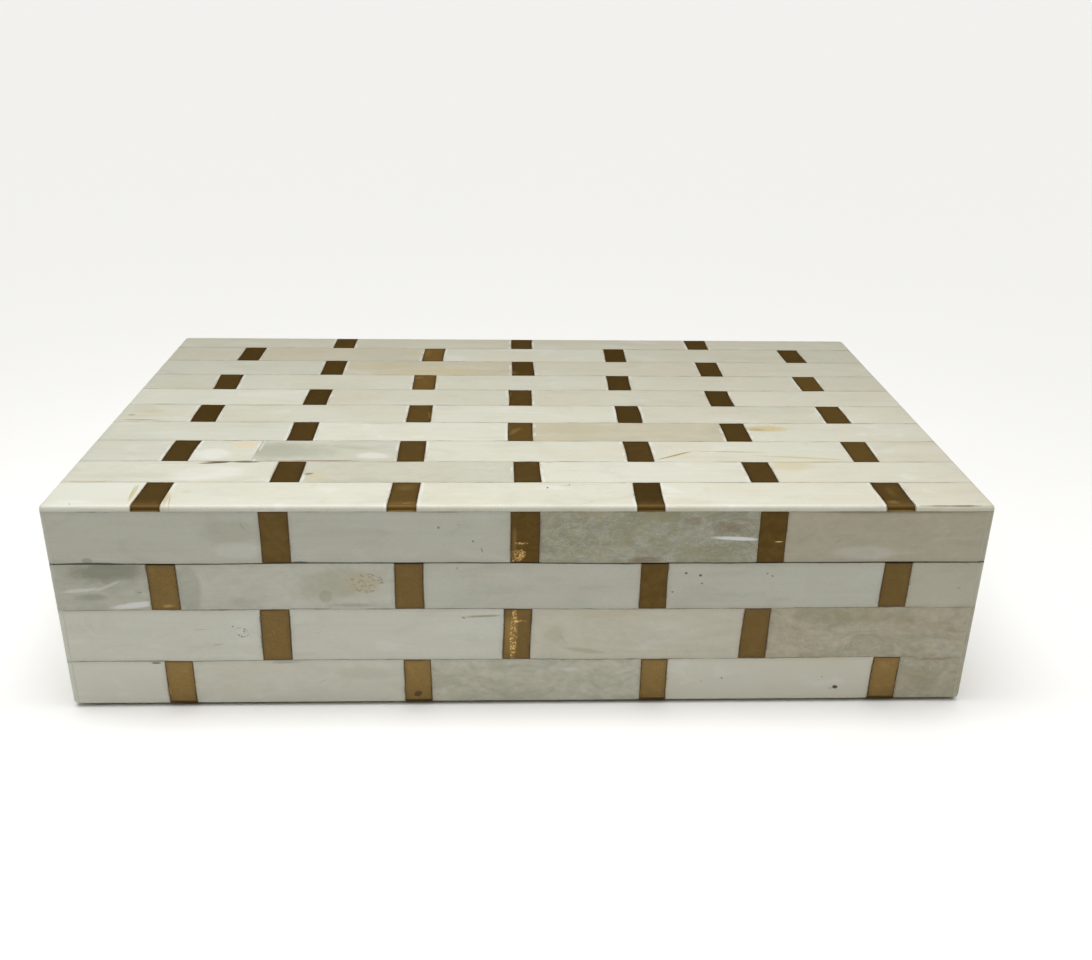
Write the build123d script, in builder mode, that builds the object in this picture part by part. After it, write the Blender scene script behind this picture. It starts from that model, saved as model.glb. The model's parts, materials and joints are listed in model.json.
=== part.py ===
"""Inlaid wooden box with a hinged lid.

A nailed hardwood carcass and a shallow lid are clad on the top and the four sides with
thin strips of bone. Short brass tiles break each strip into equal lengths, half a length
out of step from one strip to the next. Two small butt hinges lie in a V-groove along the
back of the seam, and the two faces of that groove meet to stop the open lid.

Frame: +Z up, +X to the right, -Y to the front. The origin is under the middle of the box,
on the surface it stands on. Millimetres.
"""

import os
from math import radians, tan

from build123d import *

os.makedirs("parts", exist_ok=True)

# Outside of the closed box
width = 254.0
depth = 151.0
height = 63.0

# Cladding
tile = 1.65  # thickness of bone and brass
glue_joint = 0.15  # between neighbouring tiles
brass_length = 7.8  # of one brass tile, along its strip
pitch = 66.7  # between brass tiles on the top, front and back
side_pitch = 60.0  # between brass tiles on the two short sides
top_strips = (15.3, 14.7, 15.8, 15.4, 15.4, 15.2, 15.2, 15.8, 15.4, 12.8)  # front to back
box_strips = (14.1, 16.4, 14.45)  # seam to base
short_bone_end = -77.4  # a short bone in the third top strip is pieced out from here

# How far each hand-laid strip has slipped along its length
top_slips = (0.8, 0.9, 0.7, -0.3, 1.1, -0.1, 0.7, 1.1, 2.4, 1.5)  # front to back
wall_slips = {  # lid strip first, then down to the base
    "front": (0.2, 2.4, -1.7, 3.9),
    "back": (0.4, -0.9, 1.6, -1.3),
    "left": (0.8, -1.5, 1.9, -0.6),
    "right": (-1.2, 0.9, -0.4, 2.0),
}

# Carcass
plank = 8.0  # thickness of the walls and the lid's rails
panel = 5.0  # thickness of the floor and the lid's panel
rebate = 4.0  # how far a panel's edge lies in the planks round it
felt = 0.8
felt_inset = 3.0  # from the outside of the box
felt_corner = 4.0

# Levels
seam_gap = 0.3
base_z = felt
box_top_z = base_z + sum(box_strips)
lid_base_z = box_top_z + seam_gap
lid_top_z = height - tile  # under the top tiles

# Hinges
hinge_x = 83.3  # middle of each hinge, left and right
hinge_length = 22.0
barrel_radius = 2.0
pin_radius = 0.9
pin_overhang = 0.4
running_clearance = 0.05
knuckle_gap = 0.1
knuckle_clear = 2.2  # from the axis to the nearest edge of a leaf's plate
leaf_width = 6.8  # from the axis
leaf_thickness = 0.9
leaf_corner = 0.8
barrel_recess_radius = 2.3
barrel_recess_overhang = 0.7
groove_angle = 51.0  # of each face from the horizontal, so the faces meet at twice this
axis_inset = 2.2  # from the back of the box
axis_y = depth / 2 - axis_inset
axis_z = (box_top_z + lid_base_z) / 2

# Fasteners
nail_radius = 0.6
nail_head_radius = 1.1
nail_head = 0.5
corner_nail = 20.0
floor_nail = 16.0
lid_nail = 12.0
box_corner_nail_z = (16.0, 37.0)
lid_corner_nail_z = (51.0,)
panel_nail_x = (-105.0, 0.0, 105.0)
panel_nail_y = (-35.0, 35.0)
screw_radius = 0.6
screw_head_radius = 1.5
screw_length = 6.0
screw_tip = 1.2
screw_slot = 0.35
screw_spacing = 7.0
screw_from_axis = 4.6

# Derived outlines
wood_x = width / 2 - tile  # outside of the carcass, from the middle
wood_y = depth / 2 - tile
inside_x = wood_x - plank
inside_y = wood_y - plank
panel_size = (2 * (inside_x + rebate), 2 * (inside_y + rebate))


# Tiles ------------------------------------------------------------------------------


def joined_spans(edges):
    """(low, high) between each two edges, less half a glue joint at every inner edge."""
    half, last = glue_joint / 2, len(edges) - 2
    return [
        (edges[i] + half * (i > 0), edges[i + 1] - half * (i < last))
        for i in range(last + 1)
    ]


def running_edges(start, sizes):
    """The edges of a run of neighbours of these sizes."""
    return [start + sum(sizes[:i]) for i in range(len(sizes) + 1)]


def strip_spans(length, count, step, slip, pieced_at=None):
    """The bone spans and the brass spans along one strip with this many brass tiles."""
    centres = [(i - (count - 1) / 2) * step + slip for i in range(count)]
    edges = [-length / 2]
    for centre in centres:
        edges += [centre - brass_length / 2, centre + brass_length / 2]
    edges.append(length / 2)
    spans = joined_spans(edges)
    bone, brass = spans[0::2], spans[1::2]
    if pieced_at is not None:
        whole = next(s for s in bone if s[0] < pieced_at < s[1])
        bone.remove(whole)
        bone += joined_spans([whole[0], pieced_at, whole[1]])
    return bone, brass


def tiles(face, rectangles, cutters=()):
    """One tile over each (low, high, low, high) rectangle of a clad face."""
    with BuildPart() as made:
        with BuildSketch(face):
            for x_low, x_high, y_low, y_high in rectangles:
                with Locations(((x_low + x_high) / 2, (y_low + y_high) / 2)):
                    Rectangle(x_high - x_low, y_high - y_low)
        extrude(amount=tile)
        for cutter in cutters:
            add(cutter.part, mode=Mode.SUBTRACT)
    return made


# Fasteners --------------------------------------------------------------------------


def nail(length):
    """A flat-headed nail pointing down from the origin."""
    with BuildPart() as made:
        Cylinder(nail_radius, length, align=(Align.CENTER, Align.CENTER, Align.MAX))
        Cylinder(nail_head_radius, nail_head, align=(Align.CENTER, Align.CENTER, Align.MAX))
    return made.part


def screw(slotted):
    """A countersunk wood screw pointing down from the origin."""
    with BuildPart() as made:
        with BuildSketch(Plane.XZ):
            with BuildLine():
                Polyline(
                    (0, 0),
                    (screw_head_radius, 0),
                    (screw_radius, screw_radius - screw_head_radius),
                    (screw_radius, screw_tip - screw_length),
                    (0, -screw_length),
                    close=True,
                )
            make_face()
        revolve(axis=Axis.Z)
        if slotted:
            Box(2 * screw_head_radius, screw_slot, 2 * screw_slot, mode=Mode.SUBTRACT)
    return made.part


def nails(corner_z, panel_z, panel_length, panel_turn):
    """The nails through the front and back planks, and those through a panel's edge."""
    with BuildPart() as made:
        for side in (-1, 1):
            for x in (-1, 1):
                for z in corner_z:
                    at = Location((x * (wood_x - plank / 2), side * wood_y, z), (side * -90, 0, 0))
                    with Locations(at):
                        add(nail(corner_nail))
            for x in panel_nail_x:
                at = Location((x, side * (inside_y + rebate / 2), panel_z), (panel_turn, 0, 0))
                with Locations(at):
                    add(nail(panel_length))
            for y in panel_nail_y:
                at = Location((side * (inside_x + rebate / 2), y, panel_z), (panel_turn, 0, 0))
                with Locations(at):
                    add(nail(panel_length))
    return made


def hinge_screws(face_z, turn, slotted):
    """The six screws of the two leaves that lie in one edge of the seam."""
    with BuildPart() as made:
        for hinge in (-hinge_x, hinge_x):
            for step in (-screw_spacing, 0, screw_spacing):
                at = Location((hinge + step, axis_y - screw_from_axis, face_z), (turn, 0, 0))
                with Locations(at):
                    add(screw(slotted))
    return made


box_nails = nails(box_corner_nail_z, base_z, floor_nail, 180)
lid_nails = nails(lid_corner_nail_z, lid_top_z, lid_nail, 0)
box_hinge_screws = hinge_screws(box_top_z, 0, True)
lid_hinge_screws = hinge_screws(lid_base_z, 180, True)
box_screw_holes = hinge_screws(box_top_z, 0, False)
lid_screw_holes = hinge_screws(lid_base_z, 180, False)


# Hinge seats ------------------------------------------------------------------------

with BuildPart() as hinge_groove:
    groove_reach = 2 * axis_inset
    groove_rise = groove_reach * tan(radians(groove_angle))
    with BuildSketch(Plane.YZ):
        with BuildLine():
            Polyline(
                (axis_y, axis_z),
                (axis_y + groove_reach, axis_z + groove_rise),
                (axis_y + groove_reach, axis_z - groove_rise),
                close=True,
            )
        make_face()
    extrude(amount=width, both=True)

with BuildPart() as hinge_recesses:
    for hinge in (-hinge_x, hinge_x):
        with BuildSketch(Plane.YZ.offset(hinge - hinge_length / 2)):
            with Locations((axis_y - leaf_width / 2, axis_z)):
                Rectangle(leaf_width, seam_gap + 2 * leaf_thickness)
        extrude(amount=hinge_length)
        recess_length = hinge_length + 2 * barrel_recess_overhang
        with BuildSketch(Plane.YZ.offset(hinge - recess_length / 2)):
            with Locations((axis_y, axis_z)):
                Circle(barrel_recess_radius)
        extrude(amount=recess_length)


# Hinges -----------------------------------------------------------------------------

knuckle = (hinge_length - 2 * knuckle_gap) / 3
outer_knuckles = (
    (-hinge_length / 2, knuckle - hinge_length / 2),
    (knuckle / 2 + knuckle_gap, hinge_length / 2),
)
middle_knuckle = ((-knuckle / 2, knuckle / 2),)


def hinge_leaf(hinge, side, knuckles, bore_radius, screw_holes):
    """A leaf above the seam (side 1) or below it (side -1), with its knuckles."""
    plate_z = axis_z + side * (seam_gap + leaf_thickness) / 2
    with BuildPart() as leaf:
        with BuildSketch(Plane.YZ.offset(hinge - hinge_length / 2)):
            with Locations((axis_y - (leaf_width + knuckle_clear) / 2, plate_z)):
                Rectangle(leaf_width - knuckle_clear, leaf_thickness)
        extrude(amount=hinge_length)
        fillet(leaf.edges().filter_by(Axis.Z).group_by(Axis.Y)[0], leaf_corner)
        for low, high in knuckles:
            with BuildSketch(Plane.YZ.offset(hinge + low)):
                with Locations((axis_y - knuckle_clear / 2, plate_z)):
                    Rectangle(knuckle_clear, leaf_thickness)
                with Locations((axis_y, axis_z)):
                    Circle(barrel_radius)
            extrude(amount=high - low)
        with BuildSketch(Plane.YZ.offset(hinge - hinge_length)):
            with Locations((axis_y, axis_z)):
                Circle(bore_radius)
        extrude(amount=2 * hinge_length, mode=Mode.SUBTRACT)
        add(screw_holes.part, mode=Mode.SUBTRACT)
    return leaf


def hinge_pin(hinge):
    """A headless pin with rounded ends."""
    with BuildPart() as pin:
        with BuildSketch(Plane.YZ.offset(hinge - hinge_length / 2 - pin_overhang)):
            with Locations((axis_y, axis_z)):
                Circle(pin_radius)
        extrude(amount=hinge_length + 2 * pin_overhang)
        fillet(pin.edges().filter_by(GeomType.CIRCLE), pin_overhang)
    return pin


# Carcass and lid frame --------------------------------------------------------------

planks = {  # size and place in plan: the short planks stand between the long ones
    "front": (2 * wood_x, plank, 0, -(wood_y - plank / 2)),
    "back": (2 * wood_x, plank, 0, wood_y - plank / 2),
    "left": (plank, 2 * inside_y, -(wood_x - plank / 2), 0),
    "right": (plank, 2 * inside_y, wood_x - plank / 2, 0),
}


def frame_plank(side, low, high, seat_low, cutters):
    """One plank from low to high, rebated for a panel that starts at seat_low."""
    x_size, y_size, x, y = planks[side]
    with BuildPart() as made:
        with BuildSketch(Plane.XY.offset(low)):
            with Locations((x, y)):
                Rectangle(x_size, y_size)
        extrude(amount=high - low)
        with BuildSketch(Plane.XY.offset(seat_low)):
            Rectangle(*panel_size)
        extrude(amount=panel, mode=Mode.SUBTRACT)
        for cutter in cutters:
            add(cutter.part, mode=Mode.SUBTRACT)
    return made


def board(low, cutters):
    """The floor or the lid's panel, from low up."""
    with BuildPart() as made:
        with BuildSketch(Plane.XY.offset(low)):
            Rectangle(*panel_size)
        extrude(amount=panel)
        for cutter in cutters:
            add(cutter.part, mode=Mode.SUBTRACT)
    return made


with BuildPart() as base_felt:
    with BuildSketch():
        RectangleRounded(width - 2 * felt_inset, depth - 2 * felt_inset, felt_corner)
    extrude(amount=felt)

pieces = {
    "base_felt": base_felt,
    "box_floor": board(base_z, [box_nails]),
    "lid_panel": board(lid_top_z - panel, [lid_nails]),
    "box_nails": box_nails,
    "lid_nails": lid_nails,
    "box_hinge_screws": box_hinge_screws,
    "lid_hinge_screws": lid_hinge_screws,
}
for side in planks:
    box_cutters, lid_cutters = [box_nails], [lid_nails]
    if side == "back":
        box_cutters += [hinge_groove, hinge_recesses, box_screw_holes]
        lid_cutters += [hinge_groove, hinge_recesses, lid_screw_holes]
    pieces[f"box_{side}_wall"] = frame_plank(side, base_z, box_top_z, base_z, box_cutters)
    pieces[f"lid_{side}_rail"] = frame_plank(
        side, lid_base_z, lid_top_z, lid_top_z - panel, lid_cutters
    )
for name, hinge in (("left", -hinge_x), ("right", hinge_x)):
    pieces[f"hinge_{name}_box_leaf"] = hinge_leaf(
        hinge, -1, outer_knuckles, pin_radius, box_screw_holes
    )
    pieces[f"hinge_{name}_lid_leaf"] = hinge_leaf(
        hinge, 1, middle_knuckle, pin_radius + running_clearance, lid_screw_holes
    )
    pieces[f"hinge_{name}_pin"] = hinge_pin(hinge)


# Cladding of the lid's top: four brass tiles in the first strip, three in the next ----

top_face = Plane.XY.offset(lid_top_z)
top_rows = joined_spans(running_edges(-depth / 2, top_strips))
top_brass = []
for i, (low, high) in enumerate(top_rows):
    pieced_at = short_bone_end if i == 2 else None
    bone, brass = strip_spans(width, 4 - i % 2, pitch, top_slips[i], pieced_at)
    pieces[f"lid_top_bone_row_{i + 1:02}"] = tiles(top_face, [(*span, low, high) for span in bone])
    top_brass += [(*span, low, high) for span in brass]
pieces["lid_top_brass_tiles"] = tiles(top_face, top_brass)


# Cladding of the four sides: the long sides lie between the tiles of the short ones ---

long_strip = width - 2 * (tile + glue_joint)
clad_faces = {  # face, strip length, pitch, brass tiles in the lid strip and in the next
    "front": (Plane((0, -wood_y, 0), (1, 0, 0), (0, -1, 0)), long_strip, pitch, (3, 4)),
    "back": (Plane((0, wood_y, 0), (-1, 0, 0), (0, 1, 0)), long_strip, pitch, (4, 3)),
    "left": (Plane((-wood_x, 0, 0), (0, -1, 0), (-1, 0, 0)), depth, side_pitch, (3, 2)),
    "right": (Plane((wood_x, 0, 0), (0, 1, 0), (1, 0, 0)), depth, side_pitch, (3, 2)),
}
box_rows = joined_spans(running_edges(base_z, box_strips[::-1]))[::-1]
for side, (face, length, step, counts) in clad_faces.items():
    cutters = {"front": [], "back": [hinge_groove, hinge_recesses]}.get(side, [hinge_groove])
    slips = wall_slips[side]

    bone, brass = strip_spans(length, counts[0], step, slips[0])
    lid_row = (lid_base_z, lid_top_z)
    pieces[f"lid_{side}_bone_row"] = tiles(face, [(*span, *lid_row) for span in bone], cutters)
    pieces[f"lid_{side}_brass_tiles"] = tiles(face, [(*span, *lid_row) for span in brass], cutters)

    side_brass = []
    for i, row in enumerate(box_rows):
        bone, brass = strip_spans(length, counts[(i + 1) % 2], step, slips[i + 1])
        row_cutters = cutters if i == 0 else []
        pieces[f"box_{side}_bone_row_{i + 1}"] = tiles(
            face, [(*span, *row) for span in bone], row_cutters
        )
        side_brass += [(*span, *row) for span in brass]
    pieces[f"box_{side}_brass_tiles"] = tiles(face, side_brass, cutters)


for name, piece in pieces.items():
    piece.part.label = name
    export_step(piece.part, f"parts/{name}.step")
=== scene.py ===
"""Finishes an inlaid wooden box: bone strips and brass tiles laid over a nailed wooden
carcass, with a hinged lid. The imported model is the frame, and every piece here is cut,
polished and placed on it.
"""

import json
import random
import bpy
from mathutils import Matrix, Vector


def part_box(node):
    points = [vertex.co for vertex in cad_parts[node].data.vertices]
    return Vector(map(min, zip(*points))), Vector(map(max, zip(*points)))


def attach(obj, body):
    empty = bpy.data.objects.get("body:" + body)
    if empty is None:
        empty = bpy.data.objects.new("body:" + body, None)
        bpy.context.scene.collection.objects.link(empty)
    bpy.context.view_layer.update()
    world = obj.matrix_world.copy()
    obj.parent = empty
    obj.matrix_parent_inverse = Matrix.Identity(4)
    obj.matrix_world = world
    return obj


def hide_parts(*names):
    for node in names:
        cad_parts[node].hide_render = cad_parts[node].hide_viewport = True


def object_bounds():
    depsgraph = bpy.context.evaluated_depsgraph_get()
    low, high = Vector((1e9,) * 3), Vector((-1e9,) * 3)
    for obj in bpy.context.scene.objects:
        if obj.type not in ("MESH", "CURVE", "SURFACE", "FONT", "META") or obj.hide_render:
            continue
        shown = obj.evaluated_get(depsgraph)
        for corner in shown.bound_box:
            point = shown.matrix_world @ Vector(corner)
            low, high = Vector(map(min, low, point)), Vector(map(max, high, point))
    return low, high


bl_info = {
    "name": "Inlaid Box",
    "version": (1, 0, 0),
    "blender": (4, 5, 0),
    "location": "3D View > Sidebar > Inlaid Box",
    "description": "Lays the bone, brass, wood and hinges of an inlaid wooden box",
    "category": "Object",
}

from math import pi, radians

import bpy
from bpy.props import FloatProperty, FloatVectorProperty, PointerProperty
from mathutils import Matrix, Vector

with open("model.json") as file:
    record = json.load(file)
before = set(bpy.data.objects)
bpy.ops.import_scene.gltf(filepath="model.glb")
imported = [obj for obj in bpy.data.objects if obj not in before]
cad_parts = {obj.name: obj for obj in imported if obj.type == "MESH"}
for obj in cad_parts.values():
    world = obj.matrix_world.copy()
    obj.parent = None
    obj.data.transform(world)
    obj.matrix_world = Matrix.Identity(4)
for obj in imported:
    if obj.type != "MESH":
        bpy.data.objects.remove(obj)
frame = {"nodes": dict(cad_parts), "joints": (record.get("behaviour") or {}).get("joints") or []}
CAD_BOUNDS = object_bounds()
LOW, HIGH = CAD_BOUNDS
MM = 0.001
HINGE = next(joint for joint in frame["joints"] if joint["name"] == "lid_hinge")
SEAM_Z = HINGE["pos_m"][2]
BASE_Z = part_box("box_floor")[0].z
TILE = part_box("lid_top_brass_tiles")[1].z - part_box("lid_top_brass_tiles")[0].z
SIDES = ("front", "back", "left", "right")
TOUCHING = 0.001 * MM  # points this near are one point
FLAT = radians(1)  # faces that turn less than this are one face
SHARP = radians(40)  # edges that turn more than this are rounded
ARRIS_STEPS = 4  # flats across a rounded outer edge
TOP_SEED = 11
FELT_SEED = 5

# The axes that run along and across the strips of each clad face.
FACE_AXES = {"top": (0, 1), "front": (0, 2), "back": (0, 2), "left": (1, 2), "right": (1, 2)}


# Settings ---------------------------------------------------------------------------


def colour(name, description, value):
    return FloatVectorProperty(
        name=name, description=description, subtype="COLOR", size=3, min=0, max=1, default=value
    )


def length(name, description, value):
    return FloatProperty(
        name=name, description=description, subtype="DISTANCE", unit="LENGTH", min=0, default=value
    )


class InlaidBoxTiles(bpy.types.PropertyGroup):
    """How the bone and the brass are cut and polished."""

    joint_round: length("Joint rounding", "Rounding of the edges between tiles", 0.05 * MM)
    arris_round: length("Arris rounding", "Rounding of the box's outer edges", 1.3 * MM)
    cut_step: length("Cut step", "Distance between the cuts that let a strip wander", 4.0 * MM)
    end_wander: length("End wander", "How far a tile's ends wander along the strip", 1.6 * MM)
    end_wave: length("End wave", "How long the waves of the ends' wander are", 32 * MM)
    edge_wander: length("Edge wander", "How far a strip's edges wander across it", 0.8 * MM)
    edge_wave: length("Edge wave", "How long the waves of the edges' wander are", 60 * MM)
    bone: colour("Bone", "Clean polished bone", (0.565, 0.573, 0.503))
    bone_warm: colour("Warm bone", "Bone that has kept some fat", (0.53, 0.465, 0.335))
    # Grey bone is also what the top's strips are darkened towards at the back, as painted shade.
    bone_grey: colour("Grey bone", "The grey and green figure of some bone", (0.235, 0.24, 0.18))
    bone_pale: colour("Pale bone", "Bone at its whitest", (0.665, 0.668, 0.655))
    stain: colour("Stain", "Wax and fat stains in the bone", (0.46, 0.385, 0.205))
    olive: colour("Olive stain", "Dull green-brown stains in the bone", (0.27, 0.25, 0.135))
    brown: colour("Brown spots", "Brown spots and lines in the bone", (0.17, 0.095, 0.045))
    # Joint dirt is also the colour of the painted shadow along the brass tiles' edges.
    dirt_and_shadow: colour("Joint dirt", "What has settled in joints and pores", (0.055, 0.038, 0.022))
    brass: colour("Brass", "Aged brass", (0.155, 0.103, 0.040))
    # Worn brass is also what the top's brass is lifted towards as painted light.
    brass_worn_and_lit: colour("Worn brass", "Brass where it was scratched bright", (0.60, 0.385, 0.135))
    # Bright brass is also the colour of the painted highlights on the top's brass.
    brass_bright: colour("Bright brass", "Brass that is rubbed bare", (0.88, 0.57, 0.22))
    # Tarnish is also the painted shade that darkens the brass's rounded outer edge.
    brass_dark: colour("Tarnish", "Brass where it is dullest", (0.080, 0.047, 0.012))


class InlaidBoxWood(bpy.types.PropertyGroup):
    """The carcass, its panels and its fasteners."""

    edge_round: length("Edge rounding", "Rounding of the planks' edges", 0.35 * MM)
    metal_round: length("Metal rounding", "Rounding of the hinges' edges", 0.08 * MM)
    felt_step: length("Felt step", "Distance between the felt's points", 3 * MM)
    felt_nap: length("Felt nap", "How uneven the felt is", 0.12 * MM)
    light: colour("Light grain", "The wood between its grain lines", (0.36, 0.19, 0.085))
    dark: colour("Dark grain", "The wood's grain lines", (0.15, 0.065, 0.027))
    hinge: colour("Hinge brass", "The brass of the hinges", (0.60, 0.42, 0.17))
    steel: colour("Nail steel", "The steel of the nails", (0.42, 0.41, 0.40))
    felt: colour("Felt", "The felt under the base", (0.045, 0.095, 0.06))


class InlaidBoxStage(bpy.types.PropertyGroup):
    """The floor, the lights and the camera."""

    lens: FloatProperty(name="Lens", description="Focal length, mm", default=37.04, min=1)
    camera_place: FloatVectorProperty(
        name="Camera place",
        description="Where the camera stands",
        subtype="TRANSLATION",
        default=(-6.0 * MM, -344.1 * MM, 190.3 * MM),
    )
    camera_turn: FloatVectorProperty(
        name="Camera turn",
        description="Yaw to the left, pitch down and roll",
        subtype="EULER",
        default=(radians(-2.45), radians(24.01), radians(1.03)),
    )
    backdrop: colour("Backdrop", "The pale backdrop behind the floor", (0.885, 0.885, 0.86))
    floor: colour("Floor", "The pale floor", (0.93, 0.93, 0.925))
    room: colour("Room", "The dim room, which the brass reflects", (0.15, 0.14, 0.115))
    ceiling: colour("Ceiling", "The wide soft light overhead", (1.0, 1.0, 0.99))
    ceiling_edge: FloatVectorProperty(
        name="Ceiling's edge",
        description="The heights, from 0 to 1, between which the room turns into ceiling",
        size=2,
        min=0,
        max=1,
        default=(0.62, 0.92),
    )
    ceiling_strength: FloatProperty(
        name="Ceiling strength", description="How bright the ceiling is", default=2.15, min=0
    )
    key_watts: FloatProperty(name="Key light", description="Soft light above", default=0.26)
    key_length: length("Key light length", "The soft light's size along the box", 360 * MM)
    key_width: length("Key light width", "The soft light's size across the box", 50 * MM)
    key_place: FloatVectorProperty(
        name="Key light place",
        description="Where the soft light hangs",
        subtype="TRANSLATION",
        default=(-30 * MM, -65 * MM, 220 * MM),
    )
    floor_width: length("Floor width", "The floor reaches well past what any view shows", 120.0)


# Modelling helpers ------------------------------------------------------------------


def only(piece):
    """Selects one object alone and makes it the active one."""
    bpy.ops.object.select_all(action="DESELECT")
    piece.select_set(True)
    bpy.context.view_layer.objects.active = piece


def edit(piece):
    """Starts editing a piece with all of it selected."""
    only(piece)
    bpy.ops.object.mode_set(mode="EDIT")
    bpy.ops.mesh.select_all(action="SELECT")


def stop_editing():
    bpy.ops.object.mode_set(mode="OBJECT")


def add_modifier(piece, kind, **settings):
    """Adds one modifier and sets it up."""
    modifier = piece.modifiers.new(kind.title(), kind)
    for name, value in settings.items():
        setattr(modifier, name, value)
    return modifier


def apply_modifier(piece, kind, **settings):
    """Adds one modifier, sets it up and applies it."""
    only(piece)
    modifier = add_modifier(piece, kind, **settings)
    bpy.ops.object.modifier_apply(modifier=modifier.name)


def merged_copy(node, name):
    """A copy of a CAD node with its triangles merged into whole faces."""
    piece = bpy.data.objects.new(name, frame["nodes"][node].data.copy())
    piece.data.name = name
    bpy.context.scene.collection.objects.link(piece)
    piece.data.materials.clear()
    only(piece)
    bpy.ops.mesh.customdata_custom_splitnormals_clear()
    edit(piece)
    bpy.ops.mesh.remove_doubles(threshold=TOUCHING)
    bpy.ops.mesh.dissolve_limited(angle_limit=FLAT)
    stop_editing()
    return piece


def select_edges(piece, wanted):
    """Starts editing with only the edges selected whose two ends pass the test."""
    edit(piece)
    bpy.ops.mesh.select_mode(type="EDGE")
    bpy.ops.mesh.select_all(action="DESELECT")
    stop_editing()
    points = piece.data.vertices
    for edge in piece.data.edges:
        edge.select = wanted(*(points[i].co for i in edge.vertices))
    bpy.ops.object.mode_set(mode="EDIT")


def finish_piece(piece, body, material, slot, *nodes, smooth_below=radians(32)):
    """Gives a piece its shading, material and body, and hides the nodes it stands for."""
    only(piece)
    bpy.ops.object.shade_smooth_by_angle(angle=smooth_below)
    piece.data.materials.append(material)
    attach(piece, body)
    if nodes:
        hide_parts(*nodes)


# Material helpers -------------------------------------------------------------------


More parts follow.
